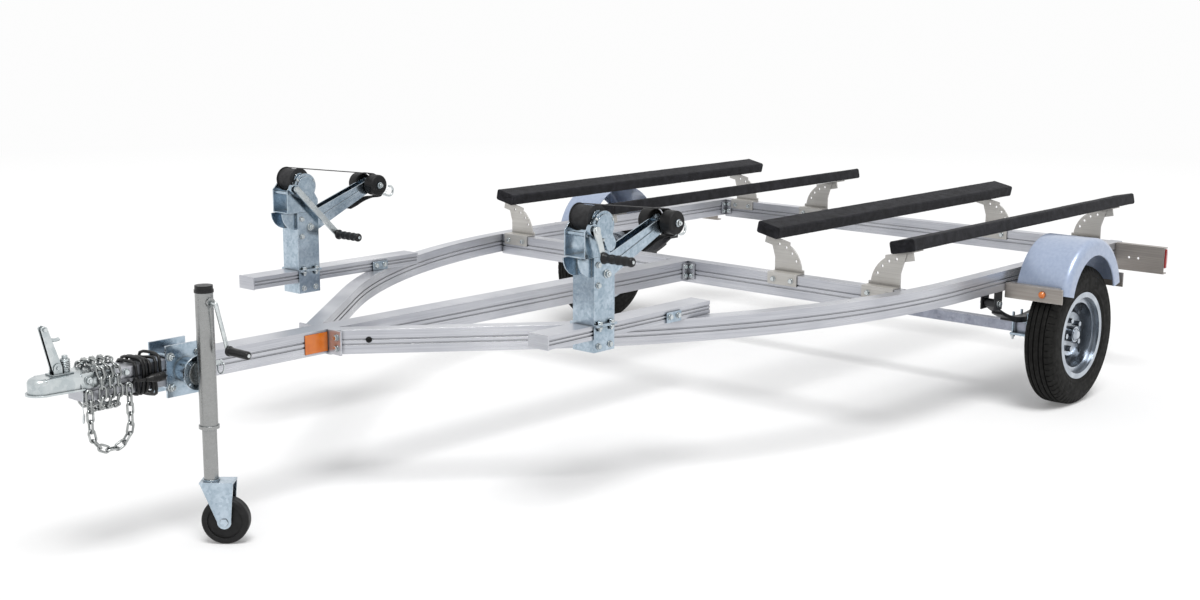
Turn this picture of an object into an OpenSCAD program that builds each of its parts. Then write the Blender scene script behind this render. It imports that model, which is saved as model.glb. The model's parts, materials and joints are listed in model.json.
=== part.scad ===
// Two-place watercraft trailer with an aluminium beam frame.
// X points forward to the coupler, Y to the left side and Z up; the ground is Z = 0.
// Distances named "ahead" or "behind" are measured from the axle.

/* [Frame] */
// Height of the frame's top face above the ground
frame_top = 526; // [500:1:560]
// Height of the tongue and of the side rails
rail_h = 76; // [66:1:84]
// Width of the side rails
rail_w = 50; // [40:1:56]
// Width of the tongue
tongue_w = 76; // [66:1:84]
// Height of the two crossmembers
cross_h = 84; // [78:1:96]
// Width of the two crossmembers
cross_w = 50; // [40:1:60]
// Width over the side rails at the rear
frame_w = 2096; // [2060:1:2110]
// Radius of the long bend of a side rail, at its outer face
bend_r = 2500; // [2300:10:2600]
// Angle between the front of a side rail and the tongue
bend_angle = 40; // [36:1:44]
// Start of the bend ahead of the axle
bend_ahead = 583; // [540:1:620]
// Front face of the front crossmember ahead of the axle
cross_ahead = 891; // [850:1:930]
// Front face of the rear crossmember behind the axle
cross_behind = 700; // [650:1:710]
// Rear end of the side rails behind the axle
rail_behind = 765; // [755:1:800]
// Length cut off the sharp front tip of a side rail
tip_cut = 42; // [30:1:60]
// Front end of the tongue ahead of the axle
tongue_ahead = 3500; // [3450:1:3520]
// Depth of the two long grooves in the side of a beam
groove_d = 3; // [1:0.5:5]
// Height of each groove
groove_h = 6; // [3:0.5:9]

/* [Bunks] */
// Width of a carpeted bunk board
bunk_w = 100; // [80:1:120]
// Thickness of a carpeted bunk board
bunk_t = 46; // [38:1:52]
// Radius of the carpeted edges
bunk_edge_r = 9; // [4:1:14]
// Tilt of each bunk towards the middle of its cradle
bunk_tilt = 12; // [6:1:16]
// Height of the middle of the bunks
bunk_z = 681; // [660:1:710]
// Middle of each cradle from the middle of the trailer
cradle_y = 690; // [670:1:710]
// Distance between the two bunks of a cradle
bunk_spacing = 574; // [540:1:600]
// Front end of the bunks ahead of the axle
bunk_ahead = 878; // [860:1:900]
// Rear end of the bunks behind the axle
bunk_behind = 911; // [880:1:940]

/* [Wheels] */
// Outer radius of the tyres
tyre_r = 268; // [262:1:276]
// Width of the tyres
tyre_w = 124; // [116:1:128]
// Distance between the middles of the two tyres
track = 2392; // [2384:1:2400]
// Radius of the rim flange
rim_r = 167; // [160:1:172]
// Radius of the wheel stud circle
stud_circle_r = 57.15; // [50:0.05:60]
// Side of the square axle tube
axle_side = 40; // [36:1:46]
// Radius of the axle spindle
spindle_r = 13.5; // [11:0.5:16]

/* [Springs] */
// Distance from the trailer's middle to each leaf spring
spring_y = 1010; // [1000:1:1020]
// Width of the leaves
leaf_w = 44; // [38:1:48]
// Thickness of one leaf
leaf_t = 7; // [5:0.5:9]
// Front spring eye ahead of the axle
eye_ahead = 290; // [270:1:310]
// Rise of the spring ends above the spring's middle
spring_rise = 84; // [70:1:95]

/* [Fenders] */
// Radius of the fender's top
fender_r = 240; // [232:1:250]
// Height of the middle of the fender's arc
fender_mid_z = 402; // [396:1:412]
// Width of the fender
fender_w = 205; // [198:1:212]
// Outer edge of the fender from the middle of the tyre
fender_over = 89; // [82:1:96]
// Thickness of the fender sheet
fender_t = 3; // [2:0.5:5]
// Depth of the fender's outer skirt
fender_skirt = 34; // [26:1:40]

/* [Winches] */
// Distance of each winch beam from the trailer's middle
winch_y = 704; // [690:1:716]
// Width of a winch beam
winch_beam_w = 78; // [70:1:84]
// Height of a winch beam
winch_beam_h = 42; // [36:1:48]
// Front end of the winch beams ahead of the axle
winch_beam_ahead = 2415; // [2390:1:2440]
// Rear end of the winch beams ahead of the axle
winch_beam_rear = 1656; // [1640:1:1690]
// Middle of the winch post ahead of the axle
post_ahead = 2176; // [2150:1:2200]
// Depth of the winch post along the beam
post_d = 92; // [70:1:96]
// Top of the winch post above the ground
post_top = 775; // [750:1:800]
// Wall of the winch post
post_wall = 4; // [3:0.5:6]
// Bow roller axis ahead of the axle
roller_ahead = 1862; // [1840:1:1890]
// Bow roller axis above the ground
roller_z = 845; // [830:1:860]
// Radius of the bow rollers
roller_r = 38; // [32:1:42]
// Length of one bow roller
roller_len = 46; // [40:1:54]
// Length of the left winch's crank arm
crank_len_left = 90; // [80:1:120]
// Length of the right winch's crank arm
crank_len_right = 250; // [220:1:260]
// Radius of the winch gear cover
cover_r = 46; // [42:1:50]

/* [Jack] */
// Jack axis ahead of the axle
jack_ahead = 3180; // [3160:1:3200]
// Jack axis to the left of the trailer's middle
jack_y = 152; // [146:1:160]
// Outer radius of the jack's outer tube
jack_r = 25.4; // [22:0.1:28]
// Outer radius of the jack's inner tube
jack_inner_r = 20.6; // [18:0.1:22]
// Top of the jack above the ground
jack_top = 746; // [730:1:760]
// Lower end of the outer tube above the ground
jack_low = 337; // [320:1:350]
// Radius of the jack wheel
jack_wheel_r = 68; // [58:0.5:69]
// Width of the jack wheel
jack_wheel_w = 44; // [36:1:50]
// Trail of the jack wheel behind its swivel
jack_trail = 38; // [34:1:39]
// Direction that the parked jack wheel trails to
jack_yaw = 132; // [0:1:180]
// Height of the pivot that the jack swings on
jack_pivot_z = 490; // [480:1:500]

/* [Coupler] */
// Nose of the coupler ahead of the axle
nose_ahead = 3636; // [3620:1:3660]
// Radius of the tow ball that fits the coupler
ball_r = 25.4; // [23:0.1:26]
// Wall of the coupler
coupler_wall = 5; // [4:0.5:7]
// Diameter of the chain wire
chain_wire = 6.5; // [5:0.5:8]
// Length of one chain link, outside
chain_link = 42; // [40:1:46]

/* [Hidden] */
$fn = 48;

// Colours as the photograph shows them
aluminium_c = "silver";
zinc_c = "lightgray";
carpet_c = "#202022";
rubber_c = "#2a2a2b";
black_c = "#17171a";
fender_c = "#c3ccd6";
amber_c = "orange";
red_c = "firebrick";

// Overrun of every cut, and the clearances of the moving fits
over = 2;
run_gap = 0.05;
side_gap = 0.5;
wheel_gap = 3;
arm_gap = 6;
seat_gap = 0.3;

// The origin lies under the middle of the whole trailer
axle_x = (bunk_behind - nose_ahead) / 2;
rail_out = frame_w / 2;
frame_low = frame_top - rail_h;
cross_low = frame_top - cross_h;
rib_share = 0.12;

// Moves a piece that is placed from the axle into the trailer's frame
module from_axle() {
    translate([axle_x, 0, 0]) children();
}

// Puts a piece drawn on the left side on the left (1) or the right (-1)
module on_side(side) {
    mirror([0, side < 0 ? 1 : 0, 0]) children();
}

module both_sides() {
    for (side = [1, -1]) on_side(side) children();
}

// Both winches are alike and face the same way
module both_winches() {
    for (side = [1, -1]) translate([0, side * winch_y, 0]) children();
}

// Rectangle with round corners, centred
module round_rect(w, h, r) {
    square([w, h - 2 * r], center = true);
    square([w - 2 * r, h], center = true);
    for (i = [-1, 1], j = [-1, 1]) translate([i * (w / 2 - r), j * (h / 2 - r)]) circle(r);
}

// Bar from one point to another, with ends that are round and a little wider
link_share = 0.97;

module link_2d(a, b, w) {
    d = b - a;
    translate(a) circle(d = w);
    translate(b) circle(d = w);
    translate(a) rotate(atan2(d[1], d[0])) translate([0, -w * link_share / 2])
        square([norm(d), w * link_share]);
}

// Section of a beam, centred across, with its lower edge at zero: two grooves leave a rib in each side
module beam_section(w, h) {
    difference() {
        translate([-w / 2, 0]) square([w, h]);
        for (side = [-1, 1], level = [-1, 1])
            translate([side * w / 2 - groove_d,
                h / 2 + level * (h * rib_share / 2 + groove_h / 2) - groove_h / 2])
                square([2 * groove_d, groove_h]);
    }
}

// Beam along X from x0 to x1, at the given middle and lower edge
module beam_x(x0, x1, y, z, w, h) {
    translate([x0, y, z]) rotate([90, 0, 90]) linear_extrude(x1 - x0) beam_section(w, h);
}

// Beam along Y, centred, with its front face at x
module beam_y(x, len, z, w, h) {
    translate([x - w / 2, len / 2, z]) rotate([90, 0, 0]) linear_extrude(len) beam_section(w, h);
}

// Plate in the Y-Z plane drawn as a 2D outline of (y, z), thick towards the front
module plate_yz(x, t) {
    translate([x, 0, 0]) rotate([90, 0, 90]) linear_extrude(t) children();
}

// Plate in the X-Z plane drawn as a 2D outline of (x, z), thick towards the left
module plate_xz(y, t) {
    translate([0, y + t, 0]) rotate([90, 0, 0]) linear_extrude(t) children();
}

// Frame beams
bend_mid_y = rail_out - bend_r;
bend_end = [
    bend_ahead + bend_r * sin(bend_angle),
    bend_mid_y + bend_r * cos(bend_angle)
];
tongue_side = tongue_w / 2;
front_run = (bend_end[1] - tongue_side) / sin(bend_angle) + rail_w;
rail_ahead = bend_end[0] + (bend_end[1] - tongue_side) / tan(bend_angle) - tip_cut;
function rail_inner_y(x) = bend_mid_y + sqrt(pow(bend_r - rail_w, 2) - pow(max(0, x - bend_ahead), 2));

module tongue() {
    color(aluminium_c) from_axle()
        beam_x(cross_ahead, tongue_ahead, 0, frame_low, tongue_w, rail_h);
}

module rail(side) {
    color(aluminium_c) from_axle() on_side(side) {
        beam_x(-rail_behind, bend_ahead, rail_out - rail_w / 2, frame_low, rail_w, rail_h);
        translate([bend_ahead, bend_mid_y, frame_low]) rotate([0, 0, 90 - bend_angle])
            rotate_extrude(angle = bend_angle, $fn = 360)
                translate([bend_r - rail_w / 2, 0]) beam_section(rail_w, rail_h);
        difference() {
            translate([bend_end[0], bend_end[1], frame_low]) rotate([0, 0, -bend_angle])
                rotate([90, 0, 90]) linear_extrude(front_run) translate([-rail_w / 2, 0])
                    beam_section(rail_w, rail_h);
            translate([bend_end[0], tongue_side - 2 * front_run, frame_low - over])
                cube([2 * front_run, 2 * front_run, rail_h + 2 * over]);
            translate([rail_ahead, -front_run, frame_low - over])
                cube([front_run, 2 * front_run, rail_h + 2 * over]);
        }
    }
}

module crossmember_front() {
    color(aluminium_c) from_axle()
        beam_y(cross_ahead, 2 * (rail_inner_y(cross_ahead) - seat_gap), cross_low, cross_w, cross_h);
}

module crossmember_rear() {
    color(aluminium_c) from_axle()
        beam_y(-cross_behind, 2 * (rail_out - rail_w), cross_low, cross_w, cross_h);
}

// Angle clips in the frame's inner corners
clip_leg = 36;
clip_t = 6;
clip_margin = 8;
clip_h = rail_h - 2 * clip_margin;
gusset_l = 190;
gusset_y = 96;
end_plate_w = 62;

module angle_clip() {
    cube([clip_leg, clip_t, clip_h]);
    cube([clip_t, clip_leg, clip_h]);
}

// Corner clips, the plates that close the rails' front ends, and the plate below the junction with the tongue
module frame_brackets() {
    color(aluminium_c) from_axle() {
        both_sides() translate([rail_ahead + seat_gap, tongue_side + seat_gap, frame_low])
            cube([clip_t, end_plate_w, rail_h]);
        both_sides() translate([-cross_behind, rail_out - rail_w - clip_leg, frame_low + clip_margin])
            translate([0, clip_leg, 0]) mirror([0, 1, 0]) angle_clip();
        for (side = [1, -1]) translate([cross_ahead, side * tongue_side, frame_low + clip_margin])
            mirror([0, side < 0 ? 1 : 0, 0]) angle_clip();
        translate([rail_ahead - gusset_l, 0, frame_low - clip_t])
            linear_extrude(clip_t)
                polygon([
                    [gusset_l, -tongue_side], [gusset_l, tongue_side], [gusset_l / 2, gusset_y],
                    [0, gusset_y], [0, -gusset_y], [gusset_l / 2, -gusset_y]
                ]);
    }
}

// Winch beams on top of the side rails
winch_beam_low = frame_top;
winch_beam_top = winch_beam_low + winch_beam_h;

beam_cap_t = 3;
beam_cap_over = 1.5;

// Winch beam with a welded plate that closes its front end
module winch_beam(side) {
    color(aluminium_c) from_axle() {
        beam_x(winch_beam_rear, winch_beam_ahead, side * winch_y, winch_beam_low, winch_beam_w, winch_beam_h);
        translate([winch_beam_ahead - over, side * winch_y - winch_beam_w / 2 - beam_cap_over,
            winch_beam_low - beam_cap_over])
            cube([beam_cap_t + over, winch_beam_w + 2 * beam_cap_over, winch_beam_h + 2 * beam_cap_over]);
    }
}

// Clamp plates that hold each winch beam down on the rail
clamp_ahead = 1846;
clamp_l = 70;
clamp_t = 6;

module beam_clamps() {
    color(zinc_c) from_axle() both_sides()
        for (edge = [-1, 1])
            translate([clamp_ahead - clamp_l / 2, winch_y + edge * (winch_beam_w / 2 + clamp_t / 2),
                frame_top])
                translate([0, -clamp_t / 2, 0]) cube([clamp_l, clamp_t, winch_beam_h - clip_margin]);
}

// Carpeted bunks
bunk_len = bunk_ahead + bunk_behind;

// Places (y, z) drawings at a bunk: lean is 1 on the outer bunk of a cradle and -1 on the inner one
module at_bunk(lean) {
    translate([0, cradle_y + lean * bunk_spacing / 2, bunk_z]) rotate([lean * bunk_tilt, 0, 0]) children();
}

module bunk(side, lean) {
    color(carpet_c) from_axle() on_side(side) at_bunk(lean)
        translate([-bunk_behind, 0, 0]) rotate([90, 0, 90]) linear_extrude(bunk_len)
            round_rect(bunk_w, bunk_t, bunk_edge_r);
}

// Fan plates that carry the bunks, folded over the crossmembers
fan_r = 122;
fan_base = 130;
fan_out = 17;
fan_t = 5;
fan_back = 46;
ear_w = 58;
ear_rise = 70;
ear_hole_r = 5;
ear_hole_in = 17;
ear_hole_angles = [100, 118, 136, 154];
seat_w = 44;
seat_l = 70;
clip_drop = 40;
seat_drop = 34;
fan_top = bunk_z - bunk_t / 2 / cos(bunk_tilt) - seat_gap;

// Outline of one fan in (y, z) for the outer bunk of a cradle, with an arc inwards and an ear outwards
module fan_2d() {
    corner = [cradle_y + bunk_spacing / 2 - fan_out, frame_top];
    difference() {
        intersection() {
            union() {
                intersection() {
                    translate(corner) circle(fan_r);
                    translate(corner - [fan_base, 0]) square([fan_base, 2 * fan_r]);
                }
                translate(corner) polygon([
                    [0, ear_rise - fan_out], [ear_w, 2 * fan_r], [-fan_base / 2, 2 * fan_r],
                    [-fan_base / 2, ear_rise]
                ]);
                translate(corner - [fan_base, 0]) square([fan_base, 2 * clip_margin]);
            }
            translate([cradle_y + bunk_spacing / 2, fan_top]) rotate(bunk_tilt)
                translate([-2 * fan_r, -4 * fan_r]) square(4 * fan_r);
        }
        for (a = ear_hole_angles) translate(corner + (fan_r - ear_hole_in) * [cos(a), sin(a)])
            circle(ear_hole_r);
    }
}

// Bracket whose clip hangs on the crossmember face at x: clip, foot, fan and the angle seat under the bunk
module bunk_brackets(x) {
    both_sides() for (lean = [1, -1]) {
        translate([0, lean < 0 ? 2 * cradle_y : 0, 0]) mirror([0, lean < 0 ? 1 : 0, 0]) {
            foot_y = cradle_y + bunk_spacing / 2 - fan_out - fan_base;
            translate([x, foot_y, frame_top - clip_drop]) cube([fan_t, fan_base, clip_drop + fan_t]);
            translate([x - fan_back, foot_y, frame_top]) cube([fan_back + fan_t, fan_base, fan_t]);
            plate_yz(x - fan_back, fan_t) fan_2d();
        }
        at_bunk(lean) translate([x - fan_back - seat_l, -seat_w / 2, -bunk_t / 2 - fan_t])
            cube([seat_l + fan_t, seat_w, fan_t - seat_gap]);
        at_bunk(lean) translate([x - fan_back - fan_t, -seat_w / 2, -bunk_t / 2 - seat_drop])
            cube([fan_t + over, seat_w, seat_drop - seat_gap]);
    }
}

module bunk_brackets_front() {
    color(aluminium_c) from_axle() bunk_brackets(cross_ahead);
}

module bunk_brackets_rear() {
    color(aluminium_c) from_axle() bunk_brackets(-cross_behind);
}

// Axle, springs and wheels
axle_z = tyre_r;
wheel_y = track / 2;
hub_in = -72;
hub_out = 40;
spindle_in = 10;
spindle_out = hub_out - spindle_in;
axle_half = wheel_y + hub_in - side_gap;

module axle_beam() {
    color(zinc_c) from_axle() translate([0, 0, axle_z]) {
        cube([axle_side, 2 * axle_half, axle_side], center = true);
        both_sides() translate([0, axle_half - over, 0]) rotate([-90, 0, 0])
            cylinder(r = spindle_r, h = wheel_y + spindle_out - axle_half + over);
    }
}

spring_mid_z = axle_z + axle_side / 2 + clip_t;
spring_arc_r = (pow(eye_ahead, 2) + pow(spring_rise, 2)) / (2 * spring_rise);
spring_reach = asin(eye_ahead / spring_arc_r);
leaf_shares = [1, 0.78, 0.52];
leaf_count = len(leaf_shares);
eye_r = 16;
eye_bolt_r = 7;
eye_path_r = spring_arc_r - (leaf_count - 1) * leaf_t - eye_r + leaf_t / 4;
eye_x = eye_path_r * sin(spring_reach);
eye_z = spring_mid_z + spring_arc_r - eye_path_r * cos(spring_reach);

// Leaves curve upwards to their ends, the longest on top with a rolled eye at each end
module leaf_springs() {
    color(black_c) from_axle() both_sides() difference() {
        union() {
            for (i = [0 : leaf_count - 1]) {
                reach = spring_reach * leaf_shares[i];
                translate([0, spring_y + leaf_w / 2, spring_mid_z + spring_arc_r])
                    rotate([90, 0, 0]) rotate([0, 0, -90 - reach])
                        rotate_extrude(angle = 2 * reach, $fn = 180)
                        translate([spring_arc_r - (leaf_count - i) * leaf_t, 0]) square([leaf_t, leaf_w]);
            }
            for (end = [1, -1]) translate([end * eye_x, spring_y, eye_z]) rotate([90, 0, 0])
                cylinder(r = eye_r, h = leaf_w, center = true);
        }
        for (end = [1, -1]) translate([end * eye_x, spring_y, eye_z]) rotate([90, 0, 0])
            cylinder(r = eye_bolt_r + run_gap, h = leaf_w + 2 * over, center = true);
    }
}

hanger_w = 60;
hanger_t = 5;
hanger_d = 56;
hanger_low = eye_z - eye_r - clip_margin;

// Folded plates under the rails with the bolts that hold the spring eyes
module spring_hangers() {
    color(black_c) from_axle() both_sides() for (end = [1, -1]) {
        difference() {
            translate([end * eye_x - hanger_d / 2, spring_y - hanger_w / 2, hanger_low])
                cube([hanger_d, hanger_w, frame_low - hanger_low]);
            translate([end * eye_x - hanger_d / 2 - over, spring_y - hanger_w / 2 + hanger_t,
                hanger_low - over])
                cube([hanger_d + 2 * over, hanger_w - 2 * hanger_t,
                    frame_low - hanger_low - hanger_t + over]);
        }
        translate([end * eye_x, spring_y, eye_z]) rotate([90, 0, 0])
            cylinder(r = eye_bolt_r, h = hanger_w + 2 * eye_bolt_r, center = true);
    }
}

ubolt_r = 5;
ubolt_gap = 66;
tie_t = 8;
tie_l = 96;

// Tie plate below the axle and the U-bolts that clamp axle and spring together
module spring_clamps() {
    color(zinc_c) from_axle() both_sides() {
        translate([-tie_l / 2, spring_y - hanger_w / 2 - ubolt_r, axle_z - axle_side / 2 - tie_t])
            cube([tie_l, hanger_w + 2 * ubolt_r, tie_t]);
        translate([-axle_side / 2, spring_y - leaf_w / 2, axle_z + axle_side / 2])
            cube([axle_side, leaf_w, clip_t - seat_gap]);
        for (x = [-1, 1], y = [-1, 1])
            translate([x * ubolt_gap / 2, spring_y + y * hanger_w / 2, axle_z - axle_side / 2])
                cylinder(r = ubolt_r, h = axle_side + clip_t + (leaf_count + 2) * leaf_t);
    }
}

// Puts a piece that turns about local Z, outboard side up, in a wheel's place
module at_wheel(side) {
    on_side(side) translate([0, wheel_y, axle_z]) rotate([-90, 0, 0]) children();
}

tread_w = 104;
shoulder_r = 16;
bead_r = 152;
rim_half = 55;
rim_t = 5;
rim_step = 24;
rim_well_r = 130;
side_r = 156;

// Half section of the tyre: two wide arcs make the sides, and the tread is rounded at its shoulders
module tyre_section() {
    mid_r = (bead_r + tyre_r) / 2;
    difference() {
        union() {
            intersection() {
                translate([bead_r + seat_gap, -tyre_w]) square([tyre_r - shoulder_r - bead_r, 2 * tyre_w]);
                translate([mid_r, tyre_w / 2 - side_r]) circle(side_r, $fn = 60);
                translate([mid_r, side_r - tyre_w / 2]) circle(side_r, $fn = 60);
            }
            translate([tyre_r - 2 * shoulder_r, shoulder_r - tread_w / 2])
                square([2 * shoulder_r, tread_w - 2 * shoulder_r]);
            for (s = [-1, 1]) translate([tyre_r - shoulder_r, s * (tread_w / 2 - shoulder_r)])
                circle(shoulder_r);
        }
        for (s = [0, 1]) mirror([0, s]) translate([bead_r - over, rim_half - rim_t - seat_gap])
            square([rim_r - bead_r + over + seat_gap, tyre_w]);
    }
}

disc_out = 8;
disc_in = -6;
disc_t = 5;
disc_flat_r = 84;
disc_slope = 18;
hand_hole_r = 10;
hand_holes = 10;
hub_r = 36;
pilot_r = 30;
hub_flange_r = 74;
hub_flange_t = 8;
cap_r = 23;
cap_dome = 9;
nut_r = 11;
nut_h = 15;
stud_count = 5;
stud_r = 6;
hub_hole_r = pilot_r + seat_gap;

module tyre(side) {
    color(rubber_c) from_axle() at_wheel(side) rotate_extrude($fn = 72) tyre_section();
}

// Deep steel wheel: stepped barrel, dished disc with square hand holes
module rim(side) {
    well = rim_half - rim_step;
    color(zinc_c) from_axle() at_wheel(side) difference() {
        rotate_extrude($fn = 72) {
            for (s = [0, 1]) mirror([0, s]) {
                translate([bead_r - rim_t, rim_half - rim_t]) square([rim_r - bead_r + rim_t, rim_t]);
                translate([bead_r - rim_t, well]) square([rim_t, rim_step]);
                translate([rim_well_r - rim_t, well]) square([bead_r - rim_well_r + rim_t, rim_t]);
            }
            translate([rim_well_r - rim_t, -well - over]) square([rim_t, 2 * well + 2 * over]);
            polygon([
                [rim_well_r - over, disc_in - disc_t], [rim_well_r - over, disc_in],
                [disc_flat_r + disc_slope, disc_in], [disc_flat_r, disc_out],
                [hub_hole_r, disc_out], [hub_hole_r, disc_out - disc_t],
                [disc_flat_r - disc_t / 2, disc_out - disc_t],
                [disc_flat_r + disc_slope - disc_t / 2, disc_in - disc_t]
            ]);
        }
        for (i = [0 : hand_holes - 1]) rotate(i * 360 / hand_holes)
            translate([(disc_flat_r + disc_slope + rim_well_r - rim_t) / 2, 0, disc_in - disc_t - over])
                cylinder(r = hand_hole_r, h = disc_t + 2 * over, $fn = 4);
        for (i = [0 : stud_count - 1]) rotate(i * 360 / stud_count)
            translate([stud_circle_r, 0, disc_out - disc_t - over])
                cylinder(r = stud_r + seat_gap, h = disc_t + 2 * over);
    }
}

// Hub barrel on the spindle, flange behind the wheel disc, grease cap and lug nuts in front of it
module hub(side) {
    flange_face = disc_out - disc_t - seat_gap;
    color(zinc_c) from_axle() at_wheel(side) difference() {
        union() {
            translate([0, 0, hub_in]) cylinder(r = hub_r, h = flange_face - hub_in);
            translate([0, 0, flange_face - hub_flange_t]) cylinder(r = hub_flange_r, h = hub_flange_t);
            cylinder(r = pilot_r, h = hub_out - cap_dome - over);
            cylinder(r = cap_r, h = hub_out - cap_dome);
            translate([0, 0, hub_out - cap_dome]) cylinder(r1 = cap_r, r2 = cap_r - cap_dome, h = cap_dome);
            for (i = [0 : stud_count - 1]) rotate(i * 360 / stud_count) translate([stud_circle_r, 0, 0]) {
                cylinder(r = stud_r, h = disc_out + nut_h);
                translate([0, 0, disc_out + seat_gap]) cylinder(r = nut_r, h = nut_h - seat_gap, $fn = 6);
            }
        }
        translate([0, 0, hub_in - over])
            cylinder(r = spindle_r + run_gap, h = spindle_out + side_gap - hub_in + over);
    }
}

// Fenders
fender_out = wheel_y + fender_over;
fender_ahead = -15;
fender_end_angle = 12;
fender_edge_r = 26;
fender_bead_r = 5;
fender_line_r = 3;
fender_line_up = 15;

// Section of the fender in (radius, height): the outer side is at the top
module fender_section() {
    difference() {
        union() {
            translate([fender_r - fender_edge_r, 0]) square([fender_edge_r, fender_w - fender_edge_r]);
            translate([fender_r - fender_edge_r, fender_w - fender_edge_r]) circle(fender_edge_r);
            translate([fender_r - fender_skirt - fender_edge_r, fender_w - fender_edge_r])
                square([fender_skirt, fender_edge_r]);
        }
        translate([fender_r - fender_skirt - 2 * fender_edge_r, -over])
            square([fender_skirt + 2 * fender_edge_r - fender_t, fender_w - fender_edge_r + over]);
        translate([fender_r - fender_edge_r, fender_w - fender_edge_r]) circle(fender_edge_r - fender_t);
        translate([fender_r - fender_skirt - 2 * fender_edge_r, fender_w - fender_edge_r - over])
            square([fender_skirt + fender_edge_r, fender_edge_r - fender_t + over]);
    }
    translate([fender_r - fender_skirt - fender_edge_r, fender_w - fender_bead_r]) circle(fender_bead_r);
    translate([fender_r - fender_skirt - fender_edge_r + fender_line_up, fender_w - fender_line_r])
        circle(fender_line_r);
}

module fender(side) {
    color(fender_c) from_axle() on_side(side)
        translate([fender_ahead, fender_out - fender_w, fender_mid_z]) rotate([-90, 0, 0])
            rotate([0, 0, -180 + fender_end_angle])
                rotate_extrude(angle = 180 - 2 * fender_end_angle, $fn = 120) fender_section();
}

bracket_h = 56;
bracket_t = 5;
bracket_lip = 26;
bracket_gap = 20;
fender_front_x = fender_ahead + fender_r * cos(fender_end_angle) + bracket_gap;
fender_end_z = fender_mid_z + fender_r * sin(fender_end_angle);

// Distance from the fender's middle to its outside at a height
function fender_reach(z) = sqrt(pow(fender_r, 2) - pow(z - fender_mid_z, 2));

// Angle arms from the rail to the fender's ends, with the top flange against the fender
module fender_brackets() {
    top = fender_end_z + bracket_h / 2;
    reach = fender_front_x - fender_ahead;
    color(aluminium_c) from_axle() both_sides() for (end = [0, 1])
        translate([fender_ahead, rail_out, 0]) mirror([end, 0, 0]) {
            translate([reach, 0, top - bracket_h])
                cube([bracket_t, fender_out - fender_bead_r - rail_out, bracket_h]);
            translate([fender_reach(top - bracket_t) + seat_gap, 0, top - bracket_t])
                cube([reach - fender_reach(top - bracket_t), fender_out - fender_edge_r - rail_out,
                    bracket_t]);
        }
}

tail_behind = 705;
tail_h = 110;
tail_low = frame_top - tail_h;
tail_in = 25;
tail_out = fender_out - tail_in;
tail_hole_r = 5;
tail_hole_gap = 40;
tail_hole_in = 110;

// Deep channels behind the fenders that carry the tail lamps
module tail_brackets() {
    color(aluminium_c) from_axle() both_sides() difference() {
        union() {
            translate([-tail_behind, rail_out, tail_low]) cube([bracket_t, tail_out - rail_out, tail_h]);
            for (z = [tail_low, frame_top - bracket_t]) translate([-tail_behind - bracket_lip, rail_out, z])
                cube([bracket_lip + over, tail_out - rail_out, bracket_t]);
        }
        for (i = [0, 1])
            translate([-tail_behind - over, tail_out - tail_hole_in - i * tail_hole_gap,
                tail_low + tail_h / 2])
            rotate([0, 90, 0]) cylinder(r = tail_hole_r, h = bracket_t + 2 * over);
    }
}

lamp_l = 84;
lamp_d = 40;
lamp_h = 80;
lamp_rim = 8;
lamp_base = 12;

// Red lamps on the back of the tail brackets: a base and a smaller lens, wrapped round the outer end
module tail_lamps() {
    color(red_c) from_axle() both_sides() {
        z = frame_top - bracket_t - seat_gap - lamp_h;
        translate([-tail_behind - lamp_base, tail_out - lamp_l, z])
            cube([lamp_base - seat_gap, lamp_l + lamp_rim, lamp_h]);
        translate([-tail_behind - lamp_d, tail_out - lamp_l + lamp_rim, z + lamp_rim])
            cube([lamp_d - lamp_base + over, lamp_l - lamp_rim, lamp_h - 2 * lamp_rim]);
    }
}

marker_r = 13;
marker_t = 10;
marker_in = 85;
reflector_l = 86;
reflector_ahead = rail_ahead + reflector_l / 2 + clip_margin;
reflector_t = 3;

// Amber marker lamps on the front fender brackets and reflectors on the tongue
module marker_lamps() {
    color(amber_c) from_axle() both_sides() {
        translate([fender_front_x + bracket_t, fender_out - marker_in, fender_end_z])
            rotate([0, 90, 0]) {
            cylinder(r = marker_r, h = marker_t / 2);
            translate([0, 0, marker_t / 2 - over])
                cylinder(r1 = marker_r, r2 = marker_r / 2, h = marker_t / 2 + over);
        }
        translate([reflector_ahead - reflector_l / 2, tongue_side, frame_low + clip_margin])
            cube([reflector_l, reflector_t, clip_h]);
    }
}

// Coupler, its latch, chains and wiring
nose_r = ball_r + 2 * coupler_wall;
ball_ahead = nose_ahead - nose_r;
sleeve_l = 100;
coupler_rear = tongue_ahead - sleeve_l;
coupler_side = tongue_side + coupler_wall + seat_gap;
coupler_top = frame_top + coupler_wall + seat_gap;
ball_gap = 0.6;
socket_depth = 41;
coupler_low = coupler_top - socket_depth - coupler_wall;
nose_edge = 14;
coupler_lip = 6;

// Plan of the coupler between the sleeve and the ball, grown outwards by a margin
module coupler_plan(grow) {
    polygon([
        [tongue_ahead - over, -coupler_side - grow], [ball_ahead, -nose_r * link_share - grow],
        [ball_ahead, nose_r * link_share + grow], [tongue_ahead - over, coupler_side + grow]
    ]);
    translate([ball_ahead, 0]) circle(nose_r + grow);
}

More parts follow.
